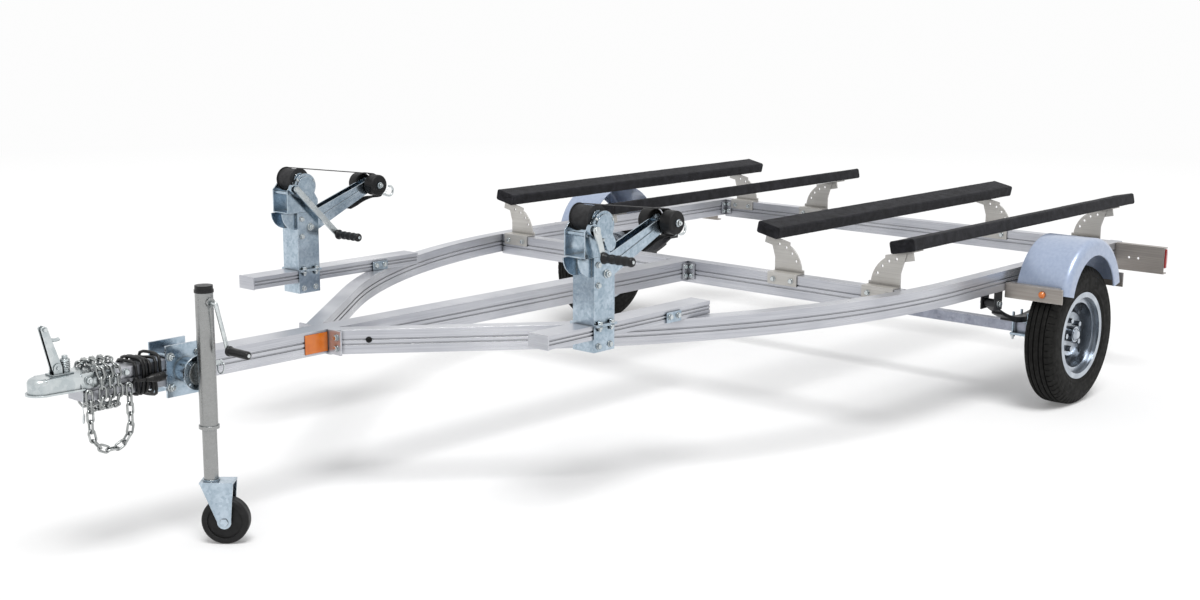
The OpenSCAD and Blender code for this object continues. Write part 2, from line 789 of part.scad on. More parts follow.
// Pressed coupler: a sleeve over the tongue, a tapering body and a round nose over the ball, with a lip below
module coupler() {
    color(zinc_c) from_axle() difference() {
        union() {
            translate([coupler_rear, -coupler_side, frame_low + rail_h / 2])
                cube([sleeve_l + over, 2 * coupler_side, coupler_top - frame_low - rail_h / 2]);
            intersection() {
                translate([0, 0, coupler_low]) linear_extrude(coupler_top - coupler_low) coupler_plan(0);
                plate_yz(tongue_ahead - over, ball_ahead - tongue_ahead + over) {
                    translate([-coupler_side, coupler_low])
                        square([2 * coupler_side, coupler_top - coupler_low - nose_edge]);
                    translate([nose_edge - coupler_side, coupler_low])
                        square([2 * coupler_side - 2 * nose_edge, coupler_top - coupler_low]);
                    for (s = [-1, 1]) translate([s * (coupler_side - nose_edge), coupler_top - nose_edge])
                        circle(nose_edge);
                }
            }
            translate([ball_ahead, 0, coupler_low]) rotate_extrude() {
                square([nose_r, coupler_top - coupler_low - nose_edge]);
                square([nose_r - nose_edge, coupler_top - coupler_low]);
                translate([nose_r - nose_edge, coupler_top - coupler_low - nose_edge]) circle(nose_edge);
            }
            translate([0, 0, coupler_low]) linear_extrude(coupler_wall) coupler_plan(coupler_lip);
        }
        translate([coupler_rear - over, -tongue_side - seat_gap, frame_low])
            cube([sleeve_l + over + seat_gap, tongue_w + 2 * seat_gap, rail_h + seat_gap]);
        translate([tongue_ahead + coupler_wall, -nose_r + coupler_wall, coupler_low - over])
            cube([ball_ahead - ball_r - 2 * coupler_wall - tongue_ahead, 2 * nose_r - 2 * coupler_wall,
                socket_depth + over]);
        translate([ball_ahead, 0, coupler_low - over])
            cylinder(r = ball_r + ball_gap, h = socket_depth + over);
    }
}

latch_l = 62;
latch_w = 40;
latch_t = 4;
latch_in = 88;
latch_x = ball_ahead - latch_in;
stack_in = 14;
stack_rows = [[12, 8], [9, 24], [13, 4], [8, 9]]; // radius and height of the washer, spring, washer and nut
lever_foot = [latch_x + latch_l - latch_w / 2, coupler_top + latch_w / 2];
lever_run = [31, 109];
lever_tip = lever_foot + lever_run;
lever_foot_r = 14;
lever_tip_r = 9;
lever_gap = 12;
lever_pin_r = 5;
finger_r = 34;
finger_wire = 5;
finger_angle = 110;

function stack_z(i) = i == 0 ? 0 : stack_z(i - 1) + stack_rows[i - 1][1];

// Latch on the coupler: base plate, spring stack, a lever of two blades on cross pins and a curved finger
module coupler_latch() {
    top = coupler_top + seat_gap;
    color(zinc_c) from_axle() {
        translate([latch_x, -latch_w / 2, top]) cube([latch_l, latch_w, latch_t]);
        for (i = [0 : len(stack_rows) - 1])
            translate([latch_x + stack_in, 0, top + latch_t - over + stack_z(i)])
            cylinder(r = stack_rows[i][0], h = stack_rows[i][1] + over);
        for (s = [0, 1]) mirror([0, s, 0]) {
            plate_xz(lever_gap / 2, latch_t) {
                translate(lever_foot) circle(lever_foot_r);
                translate(lever_tip) circle(lever_tip_r);
                translate(lever_foot) rotate(atan2(lever_run[1], lever_run[0])) polygon([
                    [0, -lever_foot_r * link_share], [norm(lever_run), -lever_tip_r * link_share],
                    [norm(lever_run), lever_tip_r * link_share], [0, lever_foot_r * link_share]
                ]);
            }
            plate_xz(lever_gap / 2 + latch_t + seat_gap, latch_t) translate(lever_foot) {
                circle(lever_foot_r - over);
                translate([-lever_foot_r + over, -latch_w / 2 + seat_gap])
                    square([2 * lever_foot_r - 2 * over, latch_w / 2]);
            }
        }
        for (at = [lever_foot, lever_tip]) translate([at[0], 0, at[1]]) rotate([90, 0, 0])
            cylinder(r = lever_pin_r, h = lever_gap + 6 * latch_t, center = true);
        translate([lever_tip[0] - finger_r, 0, lever_tip[1]]) rotate([90, 0, 0]) rotate(-finger_angle)
            rotate_extrude(angle = finger_angle) translate([finger_r, 0]) circle(finger_wire);
    }
}

// Chain: links of round wire, each a ring of sections swept round a slot
wire_r = chain_wire / 2;
link_bend = chain_link / 4 - wire_r / 2;
link_half = chain_link / 2 - link_bend - wire_r;
link_rings = 10;
link_sides = 6;

// Section i of a link: its middle in the link's plane and the direction that it faces outwards
function link_angle(i) =
    (i % (link_rings / 2)) * 180 / (link_rings / 2 - 1) - 90 + (i < link_rings / 2 ? 0 : 180);
function link_point(i, j) = let (
    a = link_angle(i), out = link_bend + wire_r * cos(j * 360 / link_sides)
) [
    (i < link_rings / 2 ? link_half : -link_half) + out * cos(a), out * sin(a),
    wire_r * sin(j * 360 / link_sides)
];

// One chain link along X, lying flat, centred
module chain_link_solid() {
    polyhedron(
        points = [for (i = [0 : link_rings - 1], j = [0 : link_sides - 1]) link_point(i, j)],
        faces = [
            for (i = [0 : link_rings - 1], j = [0 : link_sides - 1], half = [0, 1])
                let (
                    next = (i + 1) % link_rings * link_sides, here = i * link_sides, k = (j + 1) % link_sides
                ) half == 0 ? [here + j, here + k, next + k] : [here + j, next + k, next + j]
        ]
    );
}

chain_slack = 0.5;
chain_fall = 4;
chain_turn = 7;
chain_pitch = chain_link - 2 * chain_wire - 2 * chain_slack;
turn_slack = 0.6;
chain_turn_r = (chain_pitch - turn_slack) / 2 / sin(90 / chain_turn);
chain_in = 70;
chain_ahead = tongue_ahead - chain_in;
chain_y = coupler_side + coupler_wall + chain_wire;
chain_top = frame_low + rail_h / 2 - chain_wire;
chain_count = 2 * chain_fall + chain_turn;
wrap_count = 16;
wrap_out = 21.5;
wrap_up = 24;
wrap_power = 3;
wrap_even = 1.6;
wrap_sag = 3.7;

// Distance from the middle of the tongue's section to a loop round it, at an angle
function loop_reach(a, half_w, half_h, power) =
    pow(pow(abs(cos(a)) / half_w, power) + pow(abs(sin(a)) / half_h, power), -1 / power);

// Joint i of the chain that is wrapped once round the coupler's sleeve
function wrap_joint(i) = let (
    a = i * 360 / wrap_count + wrap_even * sin(i * 4 * 360 / wrap_count),
    reach = loop_reach(a, coupler_side + wrap_out, (coupler_top - frame_low) / 2 + wrap_up, wrap_power)
) [0, reach * cos(a), reach * sin(a)];

// Joint i of the hanging loop: straight down, round the bottom in even steps and up again
function chain_joint(i) =
    i < chain_fall ? [chain_turn_r, chain_y, -i * chain_pitch]
    : i > chain_fall + chain_turn ? [-chain_turn_r, chain_y, -(chain_count - i) * chain_pitch]
    : [
        chain_turn_r * cos(180 * (i - chain_fall) / chain_turn), chain_y,
        -chain_fall * chain_pitch - chain_turn_r * sin(180 * (i - chain_fall) / chain_turn)
    ];

// Link between two joints, turned about its own length
module chain_between(a, b, turn) {
    d = b - a;
    translate((a + b) / 2) rotate([0, -asin(d[2] / norm(d)), atan2(d[1], d[0])]) rotate([turn, 0, 0])
        chain_link_solid();
}

// Chain wrapped round the coupler's sleeve, and a loop that hangs from two pins in its near side
module safety_chains() {
    pin_drop = wire_r + side_gap - chain_slack;
    color(zinc_c) from_axle() translate([chain_ahead, 0, chain_top]) {
        for (i = [0 : chain_count - 1])
            chain_between(chain_joint(i), chain_joint(i + 1), i % 2 == 0 ? 90 : 0);
        for (i = [0, chain_count]) translate([chain_joint(i)[0], tongue_side + seat_gap, -pin_drop])
            rotate([-90, 0, 0])
            cylinder(r = wire_r, h = chain_y + chain_wire - tongue_side);
    }
    color(zinc_c) from_axle() translate([chain_ahead, 0, (coupler_top + frame_low) / 2 - wrap_sag])
        for (i = [0 : wrap_count - 1]) chain_between(wrap_joint(i), wrap_joint(i + 1), i % 2 == 0 ? 45 : -45);
}

harness_r = 5;
harness_turns = 5;
harness_pitch = 16;
harness_steps = 16;
harness_sides = 8;
harness_room = 3.2;
harness_off = harness_r + harness_room;
harness_power = 8;
harness_wave = 1.5;
harness_in = 60;
harness_ahead = coupler_rear - harness_turns * harness_pitch - harness_in;
plug_r = 14;
plug_l = 60;

// Point j round ring i of the harness, which runs round the tongue and forwards with a small wave
function harness_point(i, j) = let (
    a = i * 360 / harness_steps,
    reach = loop_reach(a, tongue_side + harness_off, rail_h / 2 + harness_off, harness_power),
    out = reach + harness_r * cos(j * 360 / harness_sides)
) [
    i * harness_pitch / harness_steps + harness_wave * sin(3 * a / 2)
        + harness_r * sin(j * 360 / harness_sides),
    out * cos(a), out * sin(a)
];

// Turns of the wiring harness round the tongue
module wiring_harness() {
    last = harness_turns * harness_steps;
    color(black_c) from_axle() translate([harness_ahead, 0, frame_low + rail_h / 2]) polyhedron(
        points = [for (i = [0 : last], j = [0 : harness_sides - 1]) harness_point(i, j)],
        faces = concat(
            [[for (j = [0 : harness_sides - 1]) harness_sides - 1 - j]],
            [[for (j = [0 : harness_sides - 1]) last * harness_sides + j]],
            [
                for (i = [0 : last - 1], j = [0 : harness_sides - 1], half = [0, 1])
                    let (here = i * harness_sides, next = here + harness_sides, k = (j + 1) % harness_sides)
                    half == 0 ? [here + j, here + k, next + k] : [here + j, next + k, next + j]
            ]
        )
    );
}

module harness_plug() {
    color(black_c) from_axle()
        translate([harness_ahead, tongue_side + harness_off + harness_r + plug_r + seat_gap,
            frame_low + rail_h / 2])
            rotate([0, 90, 0]) cylinder(r = plug_r, h = plug_l);
}

// Jack
jack_plate_t = 6;
jack_plate_l = 120;
jack_plate_h = 150;
jack_bolt_r = 6;
jack_bolt_in = 14;
jack_disc_r = 50;
jack_arm_r = 36;
pivot_r = 16;
pivot_y = jack_y - jack_r - jack_plate_t;
lock_hole_r = 4.5;
lock_holes = 8;
swing_y = pivot_y - jack_plate_t - side_gap;

// Plates clamped to both sides of the tongue by long bolts, and the holed disc that the jack swings on
module jack_bracket() {
    color(zinc_c) from_axle() {
        for (y = [tongue_side, -tongue_side - jack_plate_t])
            translate([jack_ahead - jack_plate_l / 2, y, jack_pivot_z - jack_plate_h / 2])
                cube([jack_plate_l, jack_plate_t, jack_plate_h]);
        for (x = [-1, 1], z = [frame_low - jack_bolt_r - seat_gap, frame_top + jack_bolt_r + seat_gap])
            translate([jack_ahead + x * (jack_plate_l / 2 - jack_bolt_in), -tongue_side - 2 * jack_plate_t,
                z])
                rotate([-90, 0, 0]) cylinder(r = jack_bolt_r, h = 2 * tongue_side + 4 * jack_plate_t);
        translate([jack_ahead, tongue_side, jack_pivot_z]) rotate([-90, 0, 0]) {
            cylinder(r = jack_arm_r, h = swing_y - tongue_side);
            cylinder(r = pivot_r, h = pivot_y - tongue_side);
        }
        difference() {
            translate([jack_ahead, swing_y - jack_plate_t, jack_pivot_z]) rotate([-90, 0, 0])
                cylinder(r = jack_disc_r, h = jack_plate_t);
            for (i = [0 : lock_holes - 1])
                translate([jack_ahead, swing_y - jack_plate_t - over, jack_pivot_z])
                rotate([-90, 0, 0]) rotate(i * 360 / lock_holes)
                    translate([(jack_arm_r + jack_disc_r) / 2, 0, 0])
                        cylinder(r = lock_hole_r, h = jack_plate_t + 2 * over);
        }
    }
}

jack_rib_r = 29;
jack_rib_h = 9;

// Outer tube with a collar at its lower end and the swing plate on its inner side
module jack_tube() {
    color(zinc_c) from_axle() translate([jack_ahead, jack_y, 0]) difference() {
        union() {
            translate([0, 0, jack_low]) cylinder(r = jack_r, h = jack_top - jack_cap_h - jack_low);
            translate([0, 0, jack_low]) cylinder(r = jack_rib_r, h = jack_rib_h);
            translate([0, pivot_y - jack_plate_t - jack_y, jack_pivot_z]) rotate([-90, 0, 0])
                cylinder(r = jack_arm_r, h = jack_plate_t);
            for (x = [-1, 1]) translate([x * jack_r / 2 - jack_plate_t / 2, pivot_y - jack_plate_t - jack_y,
                jack_pivot_z - jack_arm_r + jack_plate_t])
                cube([jack_plate_t, jack_y - pivot_y + jack_plate_t - jack_inner_r / 2,
                    2 * jack_arm_r - 2 * jack_plate_t]);
            translate([0, 0, jack_crank_z]) rotate([-90, 0, 0])
                cylinder(r = jack_hub_r, h = jack_r + jack_hub_out);
        }
        translate([0, 0, jack_low - over])
            cylinder(r = jack_inner_r + run_gap, h = jack_top - 2 * jack_cap_h - jack_low + over);
        translate([0, pivot_y - 2 * jack_plate_t - jack_y, jack_pivot_z]) rotate([-90, 0, 0])
            cylinder(r = pivot_r + run_gap, h = 2 * jack_plate_t + side_gap);
    }
}

jack_cap_h = 20;
jack_cap_lip = 8;

// Plastic cap: a lip over the tube's edge below a slightly smaller crown
module jack_cap() {
    color(black_c) from_axle() translate([jack_ahead, jack_y, jack_top - jack_cap_h]) {
        cylinder(r = jack_r + over, h = jack_cap_lip);
        cylinder(r = jack_r, h = jack_cap_h);
    }
}

jack_crank_z = 700;
jack_crank_drop = 138;
jack_crank_back = 34;
jack_crank_r = 6;
jack_hub_r = 13;
jack_hub_out = 8;
jack_grip_r = 12;
jack_grip_l = 92;
jack_crank_out = 20;

// Puts a piece on the jack's crank shaft, with the arm along local X
module at_jack_crank() {
    translate([jack_ahead, jack_y + jack_r + jack_hub_out, jack_crank_z])
        rotate([0, 90 + atan2(jack_crank_back, jack_crank_drop), 0]) children();
}

// Bent rod: out of the hub, down the side of the tube and out again into the grip
module jack_crank() {
    arm = norm([jack_crank_drop, jack_crank_back]);
    color(zinc_c) from_axle() at_jack_crank() {
        rotate([-90, 0, 0]) cylinder(r = jack_crank_r, h = jack_crank_out);
        translate([0, jack_crank_out, 0]) {
            sphere(jack_crank_r);
            rotate([0, 90, 0]) cylinder(r = jack_crank_r, h = arm);
            translate([arm, 0, 0]) sphere(jack_crank_r);
            translate([arm, 0, 0]) rotate([-90, 0, 0]) cylinder(r = jack_crank_r, h = jack_grip_l / 2);
        }
    }
}

module jack_grip() {
    arm = norm([jack_crank_drop, jack_crank_back]);
    color(black_c) from_axle() at_jack_crank()
        translate([arm, jack_crank_out + jack_crank_r, 0]) rotate([-90, 0, 0]) difference() {
            union() {
                cylinder(r = jack_grip_r, h = jack_grip_l);
                for (z = [0, jack_grip_l - 2 * over]) translate([0, 0, z])
                    cylinder(r = jack_grip_r + over, h = 2 * over);
            }
            translate([0, 0, -over]) cylinder(r = jack_crank_r + run_gap, h = jack_grip_l / 2 + over);
        }
}

wheel_room = 54;
inner_low = 2 * jack_wheel_r + wheel_room;
swivel_r = 24;

module jack_inner_tube() {
    color(zinc_c) from_axle() translate([jack_ahead, jack_y, 0]) difference() {
        translate([0, 0, inner_low]) cylinder(r = jack_inner_r, h = jack_low - inner_low + inner_overlap);
        translate([0, 0, inner_low - over])
            cylinder(r = swivel_pin_r + run_gap, h = swivel_pin_h + over + side_gap);
    }
}

inner_overlap = 210;
swivel_pin_r = 9;
swivel_pin_h = 40;
fork_t = 5;
fork_w = 40;
fork_top = inner_low - side_gap;
jack_axle_r = 6;

// Puts a piece of the jack's foot at its swivel, trailing along local X
module at_swivel() {
    translate([jack_ahead, jack_y, 0]) rotate([0, 0, jack_yaw]) children();
}

fork_plate = 96;

// Swivel plate with two plates that taper to the wheel's bolt
module jack_fork() {
    fork_in = jack_wheel_w / 2 + wheel_gap;
    color(zinc_c) from_axle() at_swivel() {
        translate([0, 0, fork_top - fork_t]) cylinder(r = swivel_r, h = fork_t);
        translate([0, 0, fork_top - over]) cylinder(r = swivel_pin_r, h = swivel_pin_h + over);
        translate([jack_trail / 2 - fork_plate / 2, -fork_in - fork_t, fork_top - 2 * fork_t])
            cube([fork_plate, 2 * fork_in + 2 * fork_t, fork_t]);
        for (s = [-1, 1]) translate([0, s * (fork_in + fork_t / 2) - fork_t / 2, 0]) plate_xz(0, fork_t) {
            translate([jack_trail, jack_wheel_r]) circle(d = fork_w);
            polygon([
                [jack_trail - fork_w * link_share / 2, jack_wheel_r],
                [jack_trail + fork_w * link_share / 2, jack_wheel_r],
                [jack_trail / 2 + fork_plate / 2, fork_top - fork_t],
                [jack_trail / 2 - fork_plate / 2, fork_top - fork_t]
            ]);
        }
        translate([jack_trail, -fork_in - 2 * fork_t, jack_wheel_r]) rotate([-90, 0, 0]) {
            cylinder(r = jack_axle_r, h = 2 * fork_in + 4 * fork_t);
            cylinder(r = 2 * jack_axle_r, h = fork_t, $fn = 6);
        }
    }
}

jack_tread_r = 9;
jack_dish = 5;

// Solid wheel with a rounded tread and dished sides
module jack_wheel() {
    half = jack_wheel_w / 2;
    color(black_c) from_axle() at_swivel() translate([jack_trail, 0, jack_wheel_r]) rotate([90, 0, 0])
        rotate_extrude($fn = 60) difference() {
            union() {
                translate([jack_axle_r + run_gap, -half])
                    square([jack_wheel_r - jack_tread_r - jack_axle_r, jack_wheel_w]);
                translate([jack_wheel_r - 2 * jack_tread_r, jack_tread_r - half])
                    square([2 * jack_tread_r, jack_wheel_w - 2 * jack_tread_r]);
                for (s = [-1, 1]) translate([jack_wheel_r - jack_tread_r, s * (half - jack_tread_r)])
                    circle(jack_tread_r);
            }
            for (s = [0, 1]) mirror([0, s]) translate([2 * swivel_pin_r, half - jack_dish])
                square([jack_wheel_r - 2 * jack_tread_r - 2 * swivel_pin_r, 2 * jack_dish]);
        }
}

// Winch stands
post_half = winch_beam_w / 2 + post_wall;
post_lip = 12;
post_round = 30;
under_drop = 40;
plate_low = winch_beam_low - under_drop;
under_t = 6;
post_front = post_ahead + post_d / 2;
post_rear = post_ahead - post_d / 2;
web_r = 60;
web_y = 28;

// Channel posts, open to the rear, on U-shaped clamps that hold them to the winch beams
module winch_posts() {
    color(zinc_c) from_axle() both_winches() {
        for (s = [0, 1]) mirror([0, s, 0]) {
            plate_xz(post_half - post_wall, post_wall) difference() {
                union() {
                    translate([post_rear, winch_beam_top + seat_gap])
                        square([post_d, post_top - post_round - winch_beam_top - seat_gap]);
                    translate([post_rear + post_round, post_top - 2 * post_round])
                        square([post_d - post_round, 2 * post_round]);
                    translate([post_rear + post_round, post_top - post_round]) circle(post_round);
                }
                translate(arm_tail) circle(pin_r + seat_gap);
            }
            translate([post_rear, post_half - over, winch_beam_top + seat_gap])
                cube([post_d, post_lip + over, post_wall]);
            plate_xz(winch_beam_w / 2 + seat_gap, post_wall) translate([post_rear, plate_low])
                square([post_d, winch_beam_top - plate_low]);
            translate([post_rear, post_half - over, winch_beam_top - post_wall])
                cube([post_d, post_lip + over, post_wall]);
            plate_xz(web_y, post_wall) intersection() {
                translate([post_front - over, post_top]) circle(web_r);
                translate([post_front - over, post_top - web_r]) square(web_r);
            }
        }
        translate([post_front - post_wall, -post_half + over, winch_beam_top + seat_gap])
            cube([post_wall, 2 * post_half - 2 * over, post_top - winch_beam_top - seat_gap]);
        translate([post_rear, -post_half + over, plate_low])
            cube([post_d, 2 * post_half - 2 * over, under_t]);
        translate([post_front - under_t, -post_half + over, plate_low])
            cube([under_t, 2 * post_half - 2 * over, under_drop - seat_gap]);
    }
}

arm_w = 40;
arm_wall = 4;
arm_tail_r = 38;
arm_tip_r = 22;
arm_tail_drop = 54;
arm_tail_in = 10;
arm_tail = [post_ahead - arm_tail_in, post_top - arm_tail_drop];
arm_run = [roller_ahead, roller_z] - arm_tail;
arm_len = norm(arm_run);
arm_rib_w = 10;
arm_rib_t = 3;
arm_rib_shares = [0.27, 0.8];
pin_r = 6;
washer_r = 12;
washer_t = 3;
roller_out = arm_w / 2 + side_gap + roller_len + side_gap;

// Side of an arm along local X, deep at the post and narrow at the rollers
module arm_side() {
    circle(arm_tail_r);
    translate([arm_len, 0]) circle(arm_tip_r);
    polygon([
        [0, -arm_tail_r * link_share], [arm_len, -arm_tip_r * link_share],
        [arm_len, arm_tip_r * link_share], [0, arm_tail_r * link_share]
    ]);
}

// Channel arms, open at the top, that rise to the bow rollers, with a pressed rib in each side
module winch_arms() {
    color(zinc_c) from_axle() both_winches() {
        translate([arm_tail[0], 0, arm_tail[1]]) rotate([0, -atan2(arm_run[1], arm_run[0]), 0]) {
            for (s = [0, 1]) mirror([0, s, 0]) {
                plate_xz(arm_w / 2 - arm_wall, arm_wall) arm_side();
                plate_xz(arm_w / 2 - over, arm_rib_t + over)
                    link_2d([arm_len * arm_rib_shares[0], 0], [arm_len * arm_rib_shares[1], 0], arm_rib_w);
            }
            plate_xz(-arm_w / 2 + over, arm_w - 2 * over) polygon([
                [0, arm_tail_r * link_share], [arm_len, arm_tip_r * link_share],
                [arm_len, arm_tip_r * link_share - arm_wall], [0, arm_tail_r * link_share - arm_wall]
            ]);
            rotate([90, 0, 0]) cylinder(r = pin_r, h = 2 * post_half + 2 * washer_t, center = true);
        }
        translate([roller_ahead, 0, roller_z]) rotate([90, 0, 0]) {
            cylinder(r = pin_r, h = 2 * roller_out + 4 * washer_t, center = true);
            for (s = [0, 1]) mirror([0, 0, s]) translate([0, 0, roller_out])
                cylinder(r = washer_r, h = washer_t);
        }
    }
}

roller_edge = 7;

// Pair of rubber rollers with round edges on one pin
module bow_rollers(side) {
    color(rubber_c) from_axle() translate([roller_ahead, side * winch_y, roller_z]) rotate([90, 0, 0])
        for (s = [0, 1]) mirror([0, 0, s]) translate([0, 0, arm_w / 2 + side_gap]) rotate_extrude() {
            translate([pin_r + run_gap, 0]) square([roller_r - roller_edge - pin_r - run_gap, roller_len]);
            translate([roller_r - 2 * roller_edge, roller_edge])
                square([2 * roller_edge, roller_len - 2 * roller_edge]);
            for (y = [roller_edge, roller_len - roller_edge]) translate([roller_r - roller_edge, y])
                circle(roller_edge);
        }
}

winch_in = 26;
winch_rear = post_ahead - winch_in;
winch_l = 112;
winch_half = 42;
winch_wall = 4;
winch_low = post_top + seat_gap;
winch_side_h = 83;
drum_on = 55;
drum_up = 115;
drum_x = winch_rear + drum_on;
drum_z = winch_low + drum_up;
drum_r = 38;
drum_lip_r = 42;
drum_lip_t = 3;
drum_axle_r = 9;
crank_on = 90;
crank_up = 87;
crank_x = winch_rear + crank_on;
crank_z = winch_low + crank_up;
crank_shaft_r = 8;
crank_t = 8;
crank_w = 22;
ear_r = 26;
tie_r = 6;
tie_in = 12;
cover_t = 12;
cover_back = 13;
cover_drop = 22;
cover_tail = [32, 56];
cover_tail_r = 22;
dome_t = 4;
dome_in = 10;
boss_r = 18;

// Folded winch frames: base, two sides that rise round the drum, a tie bar and a gear cover on the left
module winch_frames() {
    cover_at = [drum_x - cover_back, drum_z - cover_drop];
    color(zinc_c) from_axle() both_winches() difference() {
        union() {
            translate([winch_rear, -winch_half, winch_low]) cube([winch_l, 2 * winch_half, winch_wall]);
            for (s = [0, 1]) mirror([0, s, 0]) plate_xz(winch_half - winch_wall, winch_wall) {
                translate([winch_rear, winch_low]) square([winch_l, winch_side_h]);
                translate([drum_x, drum_z]) circle(ear_r);
                polygon([
                    [winch_rear, winch_low + winch_side_h - over],
                    [winch_rear + winch_l, winch_low + winch_side_h - over],
                    [drum_x + ear_r * link_share, drum_z], [drum_x - ear_r * link_share, drum_z]
                ]);
            }
            translate([winch_rear + winch_l - tie_in, 0, winch_low + winch_side_h - tie_in])
                rotate([90, 0, 0])
                cylinder(r = tie_r, h = 2 * winch_half + 2 * washer_t, center = true);
            plate_xz(winch_half - over, cover_t + over) {
                translate(cover_at) circle(cover_r);
                link_2d(cover_at, cover_at - cover_tail, 2 * cover_tail_r);
            }
            plate_xz(winch_half, cover_t + dome_t) {
                translate(cover_at) circle(cover_r - dome_in);
                translate([crank_x, crank_z]) circle(boss_r);
            }
        }
        translate([drum_x, winch_half + seat_gap, drum_z]) rotate([90, 0, 0])
            cylinder(r = drum_axle_r + run_gap, h = 2 * winch_half + over);
        translate([crank_x, 0, crank_z]) rotate([-90, 0, 0])
            cylinder(r = crank_shaft_r + run_gap, h = 2 * winch_half);
    }
}

// Spool with a lip at each end, full of wound strap
module winch_drum(side) {
    spool_half = winch_half - winch_wall - side_gap;
    color(black_c) from_axle() translate([drum_x, side * winch_y, drum_z]) rotate([90, 0, 0]) {
        cylinder(r = drum_axle_r, h = 2 * winch_half, center = true);
        cylinder(r = drum_r, h = 2 * spool_half, center = true);
        for (s = [0, 1]) mirror([0, 0, s]) translate([0, 0, spool_half - drum_lip_t])
            cylinder(r = drum_lip_r, h = drum_lip_t);
    }
}

crank_lens = [crank_len_left, crank_len_right];
crank_angles = [-108, -135];
crank_plane = winch_half + cover_t + dome_t + arm_gap;

// Puts a piece on a winch's crank shaft, with the arm along local X
module at_crank(side) {
    translate([crank_x, side * winch_y, crank_z]) rotate([0, -crank_angles[side > 0 ? 0 : 1], 0]) children();
}

module winch_crank(side) {
    reach = crank_lens[side > 0 ? 0 : 1];
    color(zinc_c) from_axle() at_crank(side) {
        translate([0, winch_half - winch_wall, 0]) rotate([-90, 0, 0]) {
            cylinder(r = crank_shaft_r, h = crank_plane + crank_t - winch_half + winch_wall);
            translate([0, 0, crank_plane - winch_half + winch_wall])
                cylinder(r = crank_w / 2, h = crank_t + washer_t, $fn = 6);
        }
        plate_xz(crank_plane, crank_t) link_2d([0, 0], [reach, 0], crank_w);
        translate([reach, crank_plane, 0]) rotate([-90, 0, 0]) cylinder(r = pin_r, h = crank_t + grip_l / 2);
    }
}

grip_l = 115;
grip_r = 15;
grip_edge = 6;

// Grip with a rounded end and a collar next to the arm
module winch_grip(side) {
    reach = crank_lens[side > 0 ? 0 : 1];
    color(black_c) from_axle() at_crank(side) translate([reach, crank_plane + crank_t + seat_gap, 0])
        rotate([-90, 0, 0])
        difference() {
            rotate_extrude() {
                square([grip_r, grip_l - grip_edge]);
                square([grip_r - grip_edge, grip_l]);
                translate([grip_r - grip_edge, grip_l - grip_edge]) circle(grip_edge);
                square([grip_r + washer_t, grip_edge]);
            }
            translate([0, 0, -over]) cylinder(r = pin_r + run_gap, h = grip_l / 2 + over);
        }
}

strap_w = 46;
strap_t = 3;

// Taut straps from the drums to the bow rollers
module winch_straps() {
    a = [drum_x, drum_z + drum_r + side_gap + strap_t];
    b = [roller_ahead, roller_z + roller_r + side_gap + strap_t];
    d = b - a;
    color(black_c) from_axle() both_winches()
        translate([a[0], -strap_w / 2, a[1]]) rotate([0, -atan2(d[1], d[0]), 0])
            cube([norm(d), strap_w, strap_t]);
}

tongue();
rail(1);  // rail_left
rail(-1);  // rail_right
crossmember_front();
crossmember_rear();
frame_brackets();
winch_beam(1);  // winch_beam_left
winch_beam(-1);  // winch_beam_right
beam_clamps();
bunk(1, 1);  // bunk_left_outer
bunk(1, -1);  // bunk_left_inner
bunk(-1, -1);  // bunk_right_inner
bunk(-1, 1);  // bunk_right_outer
bunk_brackets_front();
bunk_brackets_rear();
axle_beam();
leaf_springs();
spring_hangers();
spring_clamps();
tyre(1);  // tyre_left
tyre(-1);  // tyre_right
rim(1);  // rim_left
rim(-1);  // rim_right
hub(1);  // hub_left
hub(-1);  // hub_right
fender(1);  // fender_left
fender(-1);  // fender_right
fender_brackets();
tail_brackets();
tail_lamps();
marker_lamps();
coupler();
coupler_latch();
safety_chains();
wiring_harness();
harness_plug();
jack_bracket();
jack_tube();
jack_cap();
jack_crank();
jack_grip();
jack_inner_tube();
jack_fork();
jack_wheel();
winch_posts();
winch_arms();
winch_frames();
winch_straps();
winch_drum(1);  // winch_drum_left
winch_drum(-1);  // winch_drum_right
winch_crank(1);  // winch_crank_left
winch_crank(-1);  // winch_crank_right
winch_grip(1);  // winch_grip_left
winch_grip(-1);  // winch_grip_right
bow_rollers(1);  // bow_rollers_left
bow_rollers(-1);  // bow_rollers_right
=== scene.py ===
# %% [markdown]
# # A two-place watercraft trailer, dressed cell by cell
# The beams, wheels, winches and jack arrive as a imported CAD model, in metres, with the ground at Z = 0.
# X points forward to the coupler and Y to the trailer's left side. We never move those parts. We give each
# one the finish of the real thing, and add what a CAD model leaves out: pile, tread, bolts, wires and hooks.

# %% Load the frame
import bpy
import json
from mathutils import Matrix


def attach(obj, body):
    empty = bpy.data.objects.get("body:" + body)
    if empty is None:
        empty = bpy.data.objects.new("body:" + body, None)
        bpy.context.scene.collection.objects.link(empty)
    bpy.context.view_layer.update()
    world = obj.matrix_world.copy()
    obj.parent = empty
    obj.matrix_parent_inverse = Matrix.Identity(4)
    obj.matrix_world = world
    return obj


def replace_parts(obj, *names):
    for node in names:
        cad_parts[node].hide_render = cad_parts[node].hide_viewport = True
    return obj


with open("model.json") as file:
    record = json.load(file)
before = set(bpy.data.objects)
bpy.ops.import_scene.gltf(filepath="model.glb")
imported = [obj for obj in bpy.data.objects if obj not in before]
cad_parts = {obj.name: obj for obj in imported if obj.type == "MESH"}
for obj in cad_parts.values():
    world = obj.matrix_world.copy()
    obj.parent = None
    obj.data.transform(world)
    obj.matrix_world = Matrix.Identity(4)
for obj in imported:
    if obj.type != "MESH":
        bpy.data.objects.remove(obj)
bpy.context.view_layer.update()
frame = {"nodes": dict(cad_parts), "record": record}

import json
import math

import bmesh
import bpy
from mathutils import Matrix, Vector, noise

nodes = frame["nodes"]

